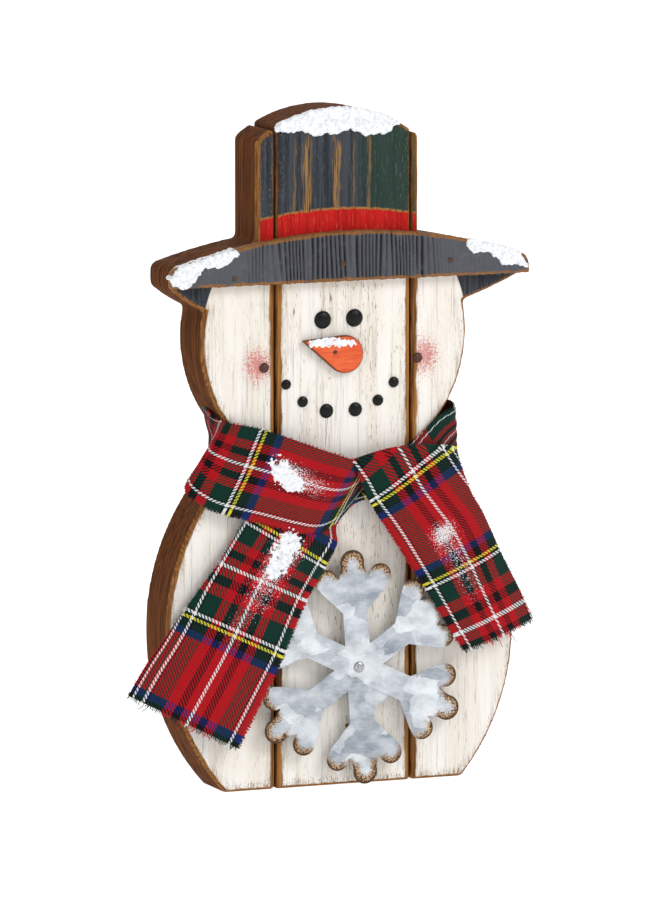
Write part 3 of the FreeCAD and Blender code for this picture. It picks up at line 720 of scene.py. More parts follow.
def arc(cx, cy, radius, start, end, steps):
    return [(cx + radius * math.cos(math.radians(start + (end - start) * i / steps)),
             cy + radius * math.sin(math.radians(start + (end - start) * i / steps)))
            for i in range(steps + 1)]


def flake_outline():
    """One closed outline: each arm is a stem, a flare and three lobes, mirrored and turned."""
    half = [(ARM_HALF, 12.5), (ARM_HALF, FLARE_START), (PALM_HALF, 34.8)]
    half += arc(*SIDE_LOBE, -28, 172, 15)
    half += list(NOTCH)
    half += arc(*TIP_LOBE, -16, 82, 8)
    arm = half + [(-x, y) for x, y in reversed(half)]
    outline = []
    for k in range(6):
        a = -math.radians(60 * k)
        ring = [(x * math.cos(a) - y * math.sin(a), x * math.sin(a) + y * math.cos(a))
                for x, y in reversed(arm)]
        inner = ARM_HALF / math.sin(math.radians(30))
        b = math.radians(90 + 30 - 60 * k)
        outline.append((inner * math.cos(b), inner * math.sin(b)))
        outline += ring
    return outline


def inside(outline, x, y):
    hit = False
    for (ax, ay), (bx, by) in zip(outline, outline[1:] + outline[:1]):
        if (ay > y) != (by > y) and x < (bx - ax) * (y - ay) / (by - ay) + ax:
            hit = not hit
    return hit


def resampled(outline, spacing):
    made = []
    for a, b in zip(outline, outline[1:] + outline[:1]):
        steps = max(1, round(math.dist(a, b) / spacing))
        made += [(a[0] + (b[0] - a[0]) * i / steps, a[1] + (b[1] - a[1]) * i / steps)
                 for i in range(steps)]
    return made


def plate(outline, hole_radius, spacing):
    """Triangulate a flat plate with a round hole and evenly spaced inner points."""
    rim = resampled(outline, spacing)
    hole = arc(0, 0, hole_radius, 0, 345, 23)
    rim_tree = flat_tree(rim)
    reach = max(math.hypot(*p) for p in rim)
    inner = []
    rows = int(reach / spacing) + 1
    for j in range(-rows, rows + 1):
        for i in range(-rows, rows + 1):
            x = (i + 0.5 * (j % 2)) * spacing
            y = j * spacing * 0.87
            if math.hypot(x, y) < hole_radius + 0.5 * spacing or math.hypot(x, y) > reach:
                continue
            if inside(outline, x, y) and rim_tree.find((x, y, 0))[2] > 0.55 * spacing:
                inner.append((x, y))
    verts = rim + hole + inner
    loop = [(i, (i + 1) % len(rim)) for i in range(len(rim))]
    first = len(rim)
    loop += [(first + i, first + (i + 1) % len(hole)) for i in range(len(hole))]
    made = delaunay_2d_cdt([Vector(v) for v in verts], loop, [], 0, 1e-5)
    points = [tuple(v) for v in made[0]]
    faces = []
    for face in made[2]:
        cx = sum(points[i][0] for i in face) / 3
        cy = sum(points[i][1] for i in face) / 3
        if inside(outline, cx, cy) and math.hypot(cx, cy) > hole_radius * 0.98:
            (ax, ay), (bx, by), (dx, dy) = (points[i] for i in face)
            turned_left = (bx - ax) * (dy - ay) - (by - ay) * (dx - ax) > 0
            faces.append(tuple(face) if turned_left else tuple(reversed(face)))
    return points, faces, rim_tree


def zinc_material():
    """Spangled galvanised sheet: soft cloudy painted reflection and shade over the zinc's own tone,
    crisp crystal edges, speckled rust.
    """
    p = Paint("galvanised_sheet", Metallic=0.6, Specular_IOR_Level=0.4)
    radius = p.field("radius")
    edge = p.field("edge")
    sway = p.vector("MULTIPLY", p.noise(6, 2.0, 0.5, output="Color"), (5 * MM,) * 3)
    bent = p.vector("ADD", p.place, sway)
    split = p.node("ShaderNodeSeparateColor")
    p.feed(split.inputs[0], p.texture("ShaderNodeTexVoronoi", (13, 13, 9), bent,
                                      Scale=1.0)["Color"])
    tone = split.outputs[0]
    # partly painted reflection and shade: soft lighter and darker zones of a bent sheet mirroring
    # the room, besides the zinc's own uneven tone; it also varies the roughness
    reflection_cloud = p.noise((11, 11, 8), 3, 0.6)
    grit = p.noise(0.42, 2, 0.6)
    brushed = p.noise((5, 5, 0.4), 3, 0.6)
    light = p.add(p.times(tone, 0.58), p.between(reflection_cloud, 0.34, 0.66, 0.0, 0.42))
    zinc = p.mix(light, linear(130, 139, 150), linear(226, 230, 234))
    zinc = p.tint(brushed, 0.42, 0.66, zinc, linear(232, 236, 239), 0.16)
    zinc = p.tint(grit, 0.58, 0.70, zinc, linear(128, 136, 146), 0.30)
    blotch = p.noise(4, 2)
    lobes = p.between(p.add(radius, p.times(p.minus(blotch, 0.5), 9.0)), 41.0, 45.5)
    gold_reach = p.add(edge, p.times(p.minus(p.noise(1.6, 3, 0.7), 0.5), 5.0))
    gold = p.times(p.between(gold_reach, 3.8, 1.6), lobes)
    density = p.between(edge, 6.8, 0.0)
    limit = p.minus(0.69, p.times(density, 0.25))
    speckle = p.between(p.minus(p.noise(0.8, 3, 0.7), limit), 0.0, 0.03)
    border = p.between(p.add(edge, p.times(p.minus(grit, 0.5), 1.6)), 1.0, 0.6)
    dark = p.times(p.larger(speckle, border), lobes)
    colour = p.mix(p.times(gold, 0.8), zinc, linear(190, 148, 86))
    colour = p.mix(dark, colour, linear(74, 46, 22))
    share = p.larger(gold, dark)
    rough = p.add(p.between(reflection_cloud, 0.3, 0.7, 0.48, 0.34), p.times(share, 0.3))
    p.feed(p.shader.inputs["Metallic"], p.between(share, 0.0, 1.0, 0.6, 0.1))
    p.bump(p.add(p.times(brushed, 0.6), p.add(p.times(tone, 0.6), p.times(grit, share))), 0.14, 0.7)
    return p.done(colour, rough)


def make_flake(zinc):
    """The snowflake: a thin plate, its arms a little bent, its hub dished round the nail."""
    outline = flake_outline()
    flat, faces, edge_tree = plate(outline, hole_radius=1.3, spacing=1.1)
    turn = math.radians(FLAKE_TURN)
    room = FLAKE_HIGH.y - FLAKE_LOW.y
    middle = (FLAKE_HIGH.y + FLAKE_LOW.y) / 2
    points = []
    radii = []
    edges = []
    for x, y in flat:
        radius = math.hypot(x, y)
        swell = noise.noise(Vector((x / 16, y / 16, 3.3))) * 0.26
        dish = 0.35 * math.exp(-((radius - 7.0) / 2.0) ** 2) * max(0.0, 0.4 - y / max(radius, 1))
        lobe_dip = 0.14 * noise.noise(Vector((x / 5, y / 5, 9.1)))
        wx = x * math.cos(turn) - y * math.sin(turn)
        wz = x * math.sin(turn) + y * math.cos(turn)
        points.append((FLAKE_CENTRE.x + wx, middle - swell - dish - lobe_dip, FLAKE_CENTRE.z + wz))
        radii.append(radius)
        edges.append(edge_tree.find((x, y, 0))[2])
    piece = mesh_from("zinc_snowflake", points, faces)
    set_fields(piece, radius=radii, edge=edges)
    applied(piece, "SOLIDIFY", thickness=0.62 * room * MM, offset=0.0, use_even_offset=False)
    applied(piece, "BEVEL", width=0.10 * MM, segments=2, limit_method="ANGLE",
            angle_limit=math.radians(50))
    shade_smooth(piece)
    return finish_piece(piece, zinc, "galvanised_sheet", "snowflake", body="flake")


# -------- scarf
# One strip of cloth, from the left tail's cut end to the right tail's: up the left tail,
# under the crossing, round the neck, along the front band, over its crease and down the
# right tail. Each row is a line of weft from edge A (the tails' outer and the band's upper
# edge) to edge B, where the outermost warp threads were pulled out and leave a fringe.
EDGE_A, EDGE_B, OUT = slice(0, 3), slice(3, 6), slice(13, 16)
WEFT_A, WEFT_B, WARP_A, WARP_B, BULGE, BOW, PLEAT = range(6, 13)


def row(edge_a, edge_b, weft, warp=(-28.5, 27.0), bulge=0.5, bow=0.0, pleat=0.0):
    """Return one row; weft and warp are cloth positions at A and B, in millimetres."""
    pair = weft if isinstance(weft, tuple) else (weft, weft)
    return [*edge_a, *edge_b, *pair, *warp, bulge, bow, pleat]


LEFT_TAIL = [
    row((-105.7, -19.6, 47.8), (-54.4, -22.9, 21.1), 0),
    row((-97.8, -19.7, 60.2), (-47.0, -23.0, 34.6), 15, bulge=0.7),
    row((-88.8, -19.9, 72.0), (-39.8, -23.1, 48.0), 30.5, (-28, 27), 0.8),
    row((-80.0, -20.1, 83.5), (-32.8, -23.2, 61.2), 45.6, (-26.5, 27), 0.8),
    row((-71.4, -20.3, 94.4), (-27.2, -23.2, 73.8), 57.5, (-24.5, 27), 0.8),
    row((-62.7, -20.4, 105.1), (-21.8, -23.2, 85.8), 69.5, (-23, 27), 0.7),
    row((-56.2, -19.8, 114.2), (-16.8, -22.8, 94.0), 81, (-22.6, 27), 0.6),
    row((-50.2, -18.8, 122.4), (-11.7, -22.2, 101.5), (91, 93.5), (-22.6, 27), 0.5),
    row((-44.0, -17.6, 128.6), (-6.8, -21.4, 110.2), (99, 101), (-22.6, 26), 0.3),
    row((-38.0, -16.6, 143.0), (-6.6, -20.0, 116.0), (108, 109), (-24, 26), 0.1),
]
CROSSING = [
    row((-27.0, -16.2, 149.0), (-4.6, -18.0, 120.0), 121, pleat=1.2),
    row((-12.0, -16.0, 147.4), (5.0, -16.6, 128.0), 136, pleat=1.6),
    row((3.0, -16.0, 147.0), (17.0, -16.4, 128.6), 150, pleat=1.6),
    row((16.0, -16.0, 150.0), (33.0, -16.4, 124.0), 162, pleat=1.2),
    row((28.0, -16.2, 152.0), (45.0, -16.4, 126.0), 171, bulge=0.2, pleat=0.6),
    row((37.0, -16.6, 158.2), (49.4, -16.2, 136.0), 178, (-26, 27), 0.5),
    row((44.4, -16.4, 164.6), (52.0, -15.8, 143.0), 182.4, (-26, 27), 0.8),
    row((52.2, -14.8, 168.0), (53.6, -14.6, 148.0), 187, (-26, 27), 0.8, pleat=0.4),
]
RIGHT_SIDE = [
    row((54.6, -8.0, 169.4), (53.6, -8.0, 152.0), 196, bulge=0.4, pleat=0.6),
    row((54.6, 0.0, 170.0), (52.0, 0.0, 152.0), 206, bulge=0.4, pleat=1.6),
    row((54.0, 8.0, 171.0), (50.6, 8.0, 152.4), 216, bulge=0.3, pleat=2.4),
    row((49.6, 15.8, 173.4), (46.0, 16.2, 150.0), 228, bulge=0.2, pleat=3.0),
]
NAPE = [
    row((36.0, 16.4, 176.6), (34.0, 17.0, 141.0), 243, pleat=3.6),
    row((18.0, 16.4, 176.0), (18.0, 17.0, 136.0), 261, pleat=3.8),
    row((-2.0, 16.4, 175.6), (-2.0, 17.0, 135.0), 281, pleat=3.8),
    row((-22.0, 16.4, 176.0), (-22.0, 17.0, 136.4), 300, pleat=3.8),
    row((-42.0, 16.4, 176.2), (-39.0, 17.0, 142.0), 318, pleat=3.6),
]
LEFT_SIDE = [
    row((-53.6, 15.8, 173.4), (-50.0, 16.2, 156.0), 330, bulge=0.2, pleat=2.0),
    row((-58.2, 9.0, 172.6), (-57.0, 9.0, 166.0), 338, bulge=0.3, pleat=0.8),
    row((-60.4, 1.0, 171.4), (-59.8, 1.0, 163.4), 345, bulge=0.3, pleat=0.5),
    row((-61.2, -6.0, 169.4), (-61.8, -6.0, 158.6), 351, (-26, 27), 0.4),
    row((-59.6, -12.0, 167.2), (-66.0, -11.6, 150.0), (358, 354), (-22, 27), 0.6),
]
BAND = [
    row((-57.2, -16.6, 166.6), (-77.4, -15.0, 139.0), (365, 360), (-19.5, 27), 0.9),
    row((-49.5, -18.8, 165.4), (-70.0, -18.0, 130.5), (374, 371.5), (-19.5, 27), 1.3),
    row((-41.0, -20.2, 163.2), (-59.5, -20.2, 126.0), 382.7, (-19.5, 27), 1.6),
    row((-28.4, -21.2, 158.8), (-44.3, -21.4, 121.9), (395.5, 397), (-19.5, 27), 1.8),
    row((-15.0, -21.8, 153.6), (-28.5, -22.0, 117.4), (408, 413), (-19.5, 27), 1.9),
    row((-5.0, -22.0, 150.0), (-17.9, -22.2, 115.6), (417, 424), (-19.5, 27), 1.7),
    row((1.3, -21.4, 147.7), (-9.3, -21.8, 118.6), (422, 433), (-20, 27), 1.0),
    row((5.0, -19.8, 146.4), (-1.4, -20.6, 125.4), (427, 440), (-22, 27), 0.4),
]
TURN = [
    row((12.0, -18.8, 147.0), (6.0, -19.0, 134.0), (434, 447), (-26, 27), 0.0, pleat=0.6),
    row((28.0, -18.4, 148.0), (9.0, -18.8, 138.0), (452, 451), bulge=0.0, pleat=0.6),
    row((42.0, -18.2, 148.6), (6.0, -19.2, 144.0), (468, 454), (-28.5, 23), 0.0),
]
RIGHT_TAIL = [
    row((51.0, -18.6, 151.2), (0.6, -20.8, 147.8), (479, 458), (-28.5, 22), 0.1, 3.2),
    row((52.0, -19.2, 148.4), (1.6, -22.6, 144.6), (481.6, 461.5), (-28, 23), 0.4, 3.4),
    row((53.4, -19.2, 144.0), (4.6, -23.0, 137.2), (485.5, 469), (-26, 25), 1.0, 1.8),
    row((56.0, -19.0, 137.4), (8.9, -23.1, 127.7), (492, 479.1), (-23.4, 26), 1.3, 0.6),
    row((59.6, -18.7, 129.0), (15.0, -23.2, 118.2), (501, 491.5), (-20, 27), 1.3),
    row((65.2, -18.4, 120.0), (21.5, -23.3, 108.4), (511, 504), (-18, 27), 1.2),
    row((72.0, -18.1, 105.6), (33.4, -23.3, 90.1), (527.6, 527.6), (-18, 27), 1.0),
    row((76.8, -17.9, 96.2), (38.8, -23.3, 81.8), 537, (-19.5, 27), 0.8),
    row((83.4, -17.6, 84.0), (46.0, -23.2, 70.2), 548.5, (-21, 27), 0.6),
    row((90.2, -17.3, 70.8), (53.3, -23.1, 58.9), 559, (-22.6, 27), 0.5),
]
STRIP_WIDTH = 54.0
LAST_WARP = 23.4                        # beyond this only weft threads are left
LAST_MESH = 26.0                        # where they part into single threads
PLEATS = 4
THREADS_PER_END = 100
UNDER_BAND = 104.0                      # in the tails, up to here and from TAIL_START on,
TAIL_START = 455.0                      # a row's depth follows a curve
CLOTH_THICK = 0.7
SETT_HALF = 48.3
WEFT_PIVOT = 69.5
RIB_PITCH = 1.25                        # square across the slanting twill ribs
DIAGONAL = 0.707                        # the ribs slant at 45 degrees to the threads
THREAD_PITCH = 0.55
TARTAN = {
    "R": linear(186, 18, 28), "K": linear(12, 13, 16), "B": linear(26, 38, 108),
    "G": linear(8, 52, 42), "W": linear(250, 250, 250), "Y": linear(240, 228, 60),
}
# thread colours from the thin white line outwards, with the width of each in millimetres
SETT = (("W", 0.7), ("R", 3.6), ("K", 3.8), ("R", 4.5), ("G", 7.5), ("K", 0.9), ("W", 1.4),
        ("K", 1.0), ("Y", 1.4), ("K", 4.3), ("B", 3.6), ("R", 15.6))
SELVAGE = (("G", 3.6), ("W", 1.0), ("K", 4.0))
BALLS_IN_DAB = 300
# snow on the scarf runs from one (x, z) to another: (start, end, radius), and a spray's weight
SOLID_DABS = (((-36.0, 148.0), (-31.5, 141.0), 5.4), ((-31.5, 140.5), (-26.5, 138.5), 4.4),
              ((-28.6, 114.0), (-33.0, 107.5), 7.6), ((-33.0, 107.0), (-38.5, 99.5), 5.6))
SPRAYS = (((-33.0, 145.0), (-17.0, 137.0), 7.4, 1.0), ((-31.0, 110.0), (-46.0, 88.0), 9.5, 0.85),
          ((-40.0, 96.0), (-58.0, 72.0), 6.0, 0.4), ((44.0, 112.0), (46.5, 107.5), 9.0, 1.05),
          ((47.0, 107.0), (58.0, 86.0), 6.5, 0.5))


def stripe_stops(stripes, total):
    """Lay (thread, width) stripes out from 0 to total as a ramp's flat bands."""
    stops = []
    at = 0.0
    for thread, width in stripes:
        stops.append((min(at / total, 0.9999), TARTAN[thread]))
        at += width
    return stops


def capsule(p, x, z, start, end, radius):
    """Distance to a segment in the XZ plane, as a share of radius, built from nodes."""
    ax, az = start
    bx, bz = end
    length2 = (bx - ax) ** 2 + (bz - az) ** 2
    px = p.minus(x, ax)
    pz = p.minus(z, az)
    along = p.add(p.times(px, (bx - ax) / length2), p.times(pz, (bz - az) / length2))
    t = p.smaller(p.larger(along, 0.0), 1.0)
    dx = p.minus(px, p.times(t, bx - ax))
    dz = p.minus(pz, p.times(t, bz - az))
    far = p.length(dx, dz)
    return p.times(far, 1.0 / radius), t


def tartan_material(name, loose=None):
    """Two-over-two twill tartan; loose is the one set of threads that a fringe shows."""
    p = Paint(name, Roughness=0.95, Specular_IOR_Level=0.1)
    p.shader.inputs["Sheen Weight"].default_value = 0.08
    p.shader.inputs["Sheen Roughness"].default_value = 0.5
    x, y, z = p.axes()
    warp_at = p.field("warp")
    weft_at = p.field("weft")
    folded = p.maths("PINGPONG", p.add(weft_at, SETT_HALF * 20 - WEFT_PIVOT), SETT_HALF)
    weft = p.steps(p.times(folded, 1 / SETT_HALF), stripe_stops(SETT, SETT_HALF))
    span = STRIP_WIDTH / 2 + 4
    warp = p.steps(p.times(p.absolute(warp_at), 1 / span), stripe_stops(SETT[:7] + SELVAGE, span))
    fuzz = p.noise(0.45, 3, 0.6)
    if loose:
        colour = {"warp": warp, "weft": weft}[loose]
        return p.done(p.tint(fuzz, 0.4, 0.8, colour, linear(20, 18, 20), 0.3))
    phase = p.maths("FRACT", p.add(p.times(p.field("rib"), 1 / RIB_PITCH), 500.0))
    over = p.between(p.add(p.absolute(p.minus(phase, 0.5)),
                           p.times(p.minus(fuzz, 0.5), 0.12)), 0.22, 0.28)
    over = p.larger(over, p.between(warp_at, LAST_WARP, LAST_WARP + 0.4))
    cloth = p.mix(over, warp, weft)
    cloth = p.mix(0.10, cloth, p.mix(0.5, warp, weft))
    wave = 2 * math.pi / THREAD_PITCH
    threads = p.add(p.maths("SINE", p.times(warp_at, wave)),
                    p.maths("SINE", p.times(weft_at, wave)))
    # painted shade: darker between the threads and in the valleys of the twill ribs, multiplied
    # into the cloth colour; the fuzz term adds the yarn's own uneven tone
    shade = p.times(p.between(threads, -2.0, 2.0, 0.82, 1.05),
                    p.between(fuzz, 0.25, 0.75, 0.74, 1.12))
    half_rib = p.minus(p.maths("FRACT", p.times(phase, 2.0)), 0.5)
    shade = p.times(shade, p.between(p.absolute(half_rib), 0.5, 0.2, 0.74, 1.0))
    grey = p.node("ShaderNodeCombineColor")
    for socket in grey.inputs:
        p.feed(socket, shade)
    cloth = p.mix(1.0, cloth, grey.outputs[0], "MULTIPLY")
    dots = p.noise(0.5, 2, 0.6)
    at_front = p.between(y, -8.0, -12.0)
    for start, end, radius, weight in SPRAYS:
        far, t = capsule(p, x, z, start, end, radius)
        density = p.times(p.between(far, 1.05, 0.15), p.between(t, 0.0, 1.0, weight, weight * 0.45))
        limit = p.minus(0.68, p.times(density, 0.27))
        share = p.times(p.between(p.minus(dots, limit), 0.0, 0.05), p.between(far, 1.1, 0.95))
        cloth = p.mix(p.times(p.times(share, at_front), 0.9), cloth, linear(236, 239, 242))
    hump = p.maths("SINE", p.times(phase, 2 * math.pi))
    p.bump(p.add(p.absolute(hump), p.times(fuzz, 0.6)), 0.3, 0.7)
    return p.done(cloth)


def catmull(values, t):
    """Interpolate evenly spaced rows of values at t, measured in rows."""
    last = len(values) - 1
    i = min(int(t), last - 1)
    f = t - i
    a = values[max(i - 1, 0)]
    b = values[i]
    c = values[i + 1]
    d = values[min(i + 2, last)]
    return 0.5 * ((2 * b) + (c - a) * f + (2 * a - 5 * b + 4 * c - d) * f ** 2
                  + (3 * b - a - 3 * c + d) * f ** 3)


def scarf_rows(per_station):
    """Fill in rows between the listed ones and add to each the way out of the cloth."""
    table = np.array(LEFT_TAIL + CROSSING + RIGHT_SIDE + NAPE + LEFT_SIDE + BAND + TURN
                     + RIGHT_TAIL)
    count = (len(table) - 1) * per_station
    rows = [catmull(table, i / per_station) for i in range(count + 1)]
    made = []
    for i, line in enumerate(rows):
        ahead = rows[min(i + 1, count)]
        behind = rows[max(i - 1, 0)]
        run = Vector((ahead[EDGE_A] + ahead[EDGE_B] - behind[EDGE_A] - behind[EDGE_B]) / 2)
        out = run.cross(Vector(line[EDGE_B] - line[EDGE_A])).normalized()
        if out.x * line[0] / 60 + out.y * line[1] / 16 < 0:
            out = -out
        made.append(np.append(line, out))
    return made


def cloth_point(line, t):
    """Return the point of a row at t, 0 at edge A and 1 at edge B, and its cloth position."""
    a = Vector(line[EDGE_A])
    b = Vector(line[EDGE_B])
    weft = line[WEFT_A] + (line[WEFT_B] - line[WEFT_A]) * t
    warp = line[WARP_A] + (line[WARP_B] - line[WARP_A]) * t
    point = a + (b - a) * t
    if line[WEFT_B] < UNDER_BAND or line[WEFT_B] > TAIL_START:
        point.y = b.y + (a.y - b.y) * (1 - t) ** 2.5
    wave = math.sin(math.pi * min(max(t, 0), 1))
    crease = noise.noise(Vector((t * 2.6, weft / 24.0, 1.7))) * 1.2
    crease += noise.noise(Vector((t * 6.0, weft / 50.0, 4.2))) * 0.5
    crease += noise.noise(Vector((t * 4.0, weft / 7.0, 8.8))) * 0.22
    lift = line[BULGE] * wave + crease * 0.6 * (0.35 + 0.65 * wave)
    side = -1.0 if point.y < 0 else 1.0
    point.y += side * max(lift, -0.35)
    point.z += line[BOW] * wave
    folds = 0.5 - 0.5 * math.cos(2 * math.pi * PLEATS * t)
    return point + Vector(line[OUT]) * max(line[PLEAT], 0.0) * folds, weft, warp


def cloth_end(line):
    """Return t where the woven cloth ends and the pulled fringe begins."""
    return min(1.0, (LAST_MESH - line[WARP_A]) / (line[WARP_B] - line[WARP_A]))


def make_scarf(material):
    """Loft the strip through its rows, then thicken it."""
    across = 46
    rows = scarf_rows(per_station=8)
    points = []
    warps = []
    wefts = []
    ribs = []
    for line in rows:
        end = cloth_end(line)
        for k in range(across + 1):
            point, weft, warp = cloth_point(line, end * k / across)
            points.append(point)
            warps.append(warp)
            wefts.append(weft)
            ribs.append(DIAGONAL * (warp + weft))
    width = across + 1
    faces = [(r * width + k, r * width + k + 1, (r + 1) * width + k + 1, (r + 1) * width + k)
             for r in range(len(rows) - 1) for k in range(across)]
    scarf = mesh_from("tartan_scarf", points, faces)
    set_fields(scarf, warp=warps, weft=wefts, rib=ribs)
    applied(scarf, "SOLIDIFY", thickness=CLOTH_THICK * MM, offset=0.0)
    shade_smooth(scarf)
    return finish_piece(scarf, material, "tartan_cloth", "scarf"), rows


class Threads:
    """Loose threads, gathered into one mesh of thin three-sided tubes."""

    def __init__(self):
        self.points = []
        self.faces = []
        self.warps = []
        self.wefts = []

    def add(self, path, radius, warp, weft):
        start = len(self.points)
        for i, point in enumerate(path):
            ahead = path[min(i + 1, len(path) - 1)] - path[max(i - 1, 0)]
            ahead.normalize()
            side = ahead.cross(Vector((0.3, 1.0, 0.2))).normalized()
            up = ahead.cross(side)
            thin = radius * (1.0 if i < len(path) - 1 else 0.4)
            for k in range(3):
                a = 2 * math.pi * k / 3
                self.points.append(point + (side * math.cos(a) + up * math.sin(a)) * thin)
                self.warps.append(warp)
                self.wefts.append(weft)
            if i:
                base = start + (i - 1) * 3
                for k in range(3):
                    n = (k + 1) % 3
                    self.faces.append((base + k, base + n, base + 3 + n, base + 3 + k))
        self.faces.append((start + 2, start + 1, start))
        end = start + (len(path) - 1) * 3
        self.faces.append((end, end + 1, end + 2))

    def piece(self, name, material):
        made = mesh_from(name, self.points, self.faces)
        set_fields(made, warp=self.warps, weft=self.wefts)
        return finish_piece(made, material, "tartan_cloth")


def make_cut_ends(rows, material):
    """Warp threads that stick out of both cut ends."""
    rng = np.random.default_rng(11)
    threads = Threads()
    for line, beyond in ((rows[0], rows[4]), (rows[-1], rows[-5])):
        middle = cloth_point(line, 0.5)[0]
        out = (middle - cloth_point(beyond, 0.5)[0]).normalized()
        for k in range(THREADS_PER_END):
            t = cloth_end(line) * (k + rng.uniform(0.1, 0.9)) / THREADS_PER_END
            root, weft, warp = cloth_point(line, t)
            length = rng.uniform(0.8, 2.2) + (2.5 if rng.random() < 0.05 else 0.0)
            sway = Vector((rng.normal(0, 0.28), rng.normal(0, 0.3), rng.normal(0, 0.2)))
            path = [root - out * 0.8]
            for i in range(1, 4):
                s = i / 3
                path.append(root + (out * s + sway * s * s) * length)
            threads.add(path, 0.2, warp, weft)
    return threads.piece("scarf_cut_ends", material)


def make_side_fringe(rows, material):
    """Weft threads left along edge B, and a little fuzz along edge A."""
    rng = np.random.default_rng(23)
    threads = Threads()
    for index in range(len(rows) - 1):
        line = rows[index]
        ahead = rows[index + 1]
        end = cloth_end(line)
        root, weft, warp = cloth_point(line, end)
        root_ahead, weft_ahead, _ = cloth_point(ahead, cloth_end(ahead))
        tip = cloth_point(line, 1.0)[0]
        tip_ahead = cloth_point(ahead, 1.0)[0]
        count = max(1, round(abs(weft_ahead - weft) / 0.3))
        for k in range(count if end < 0.995 else 0):
            s = (k + rng.uniform(0.2, 0.8)) / count
            start = root.lerp(root_ahead, s)
            reach = (tip.lerp(tip_ahead, s) - start) * rng.uniform(0.5, 1.5)
            run = (root_ahead - root).normalized()
            sway = run * rng.normal(0, 0.35) + Vector((0, rng.normal(0, 0.22), 0))
            path = [start - reach * 0.5, start + reach * 0.33 + sway * 0.2,
                    start + reach * 0.7 + sway * 0.6, start + reach + sway]
            threads.add(path, 0.22, warp, weft + (weft_ahead - weft) * s)
        edge = cloth_point(line, 0.0)[0]
        out = (edge - cloth_point(line, 0.06)[0]).normalized()
        for k in range(2):
            start = edge.lerp(cloth_point(ahead, 0.0)[0], rng.random())
            sway = Vector((rng.normal(0, 0.2), rng.normal(0, 0.2), rng.normal(0, 0.2)))
            path = [start - out * 0.5, start + out * 0.3,
                    start + (out + sway) * rng.uniform(0.4, 1.1)]
            threads.add(path, 0.18, line[WARP_A], line[WEFT_A])
    return threads.piece("scarf_side_fringe", material)


# -------- snow paste
def snow_material():
    p = Paint("snow_paste", Roughness=0.9, Specular_IOR_Level=0.2)
    grit = p.noise(0.5, 3, 0.6)
    clot = p.noise(1.6, 3, 0.6)
    colour = p.tint(clot, 0.35, 0.6, linear(222, 226, 232), linear(248, 249, 250))
    colour = p.tint(grit, 0.55, 0.66, colour, linear(150, 160, 175), 0.55)
    p.bump(p.add(grit, p.times(clot, 0.6)), 0.5, 0.8)
    return p.done(colour)


def lumps(name, centres, voxel, material, *nodes):
    """Melt many small flattened balls into one lumpy skin of paste."""
    bm = bmesh.new()
    for x, y, z, radius, flat in centres:
        ball = bmesh.ops.create_icosphere(bm, subdivisions=2, radius=1.0)
        shape = Matrix.Translation(M(x, y, z)) @ Matrix.Diagonal(
            (radius * MM, radius * flat * MM, radius * MM, 1.0))
        bmesh.ops.transform(bm, matrix=shape, verts=ball["verts"])
    piece = remeshed(mesh_of(bm, name), voxel, 6)
    points = points_mm(piece)
    rough = smooth_noise(points, 0.9, 3) * 0.16 + smooth_noise(points, 2.6, 8) * 0.14
    set_points_mm(piece, points + normals(piece) * rough[:, None])
    shade_smooth(piece)
    return finish_piece(piece, material, "snow_paste", *nodes)


def arc_top(x, centre_x, centre_z, radius):
    """Return the height of an arc's top side at x."""
    return centre_z + math.sqrt(radius ** 2 - (x - centre_x) ** 2)


def column(rng, x, y, low, top, spread, largest):
    """Return a stack of flattened balls of paste, from low to top."""
    made = []
    while low < top:
        size = rng.uniform(1.0, largest)
        made.append((x + rng.normal(0, spread), y, low + rng.normal(0, spread), size, 0.6))
        low += 1.25
    return made


def crown_snow(rng, material):
    """Snow that hangs from the crown's arc, with a wavy lower edge."""
    centres = []
    x = -32.0
    while x < 26.5:
        top = arc_top(x, -3.2, 242.8, 62.2)
        low = 295.1 + 0.9 * math.sin(x / 4.3 + 1.2) + 0.6 * math.sin(x / 1.9)
        low -= 0.035 * (x + 32)
        low += 0.75 * max(0.0, x - 19.0)
        centres += column(rng, x, FACE - 0.1, low + 0.8, top - 0.3, 0.3, 1.7)
        for back in (-0.3, 1.2, 2.4):
            if back > 1.5 and rng.random() < 0.4:
                continue
            centres.append((x, FACE + 0.6 + back, top - 0.7, rng.uniform(0.9, 1.4), 1.0))
        x += 1.2
    lumps("crown_snow", centres, 0.42, material, "snow_crown")


def brim_snow(rng, material, side, start, end):
    """Snow on one end of the brim strip, thick at the tip and ragged towards the middle."""
    centres = []
    x = start
    while x < end:
        share = (x - start) / (end - start)
        top = arc_top(x, 1.5, -15.1, 265.5)
        if side == "left":
            top -= 2.6 * math.exp(-((x - start) / 2.2) ** 2)
            low = 231.4 + 9.4 * share + 1.2 * math.sin(x / 2.3)
            low -= 5.0 * math.exp(-((x + 80.0) / 5.0) ** 2)
        else:
            top -= 4.6 * math.exp(-((x - end) / 3.0) ** 2)
            low = 240.6 - 10.8 * share + 1.3 * math.sin(x / 2.5)
        centres += column(rng, x, STRIP_LOW.y - 0.1, low + 0.7, top - 0.2, 0.25, 1.6)
        for back in (0.0, 1.6, 3.2, 4.8):
            centres.append((x, STRIP_LOW.y + 0.6 + back, top - 0.7, rng.uniform(0.8, 1.3), 0.9))
        x += 1.2
    lumps(f"brim_snow_{side}", centres, 0.42, material, f"snow_brim_{side}")


def nose_snow(rng, material):
    """Snow along the carrot's top edge."""
    nose_low = box_mm("nose")[0]
    centres = []
    for i in range(40):
        s = i / 39
        x = -18.4 + 22.0 * s
        top = 201.9 + 1.2 * math.sin(s * math.pi) - 1.6 * s ** 3
        deep = 3.8 * math.sin(math.pi * (0.16 + 0.76 * s)) + 0.6 * math.sin(i * 1.3)
        z = top - deep
        while z < top:
            centres.append((x, nose_low.y + 0.1, z + rng.normal(0, 0.15),
                            rng.uniform(0.45, 0.75), 0.6))
            z += 0.75
    lumps("nose_snow", centres, 0.26, material, "snow_nose")


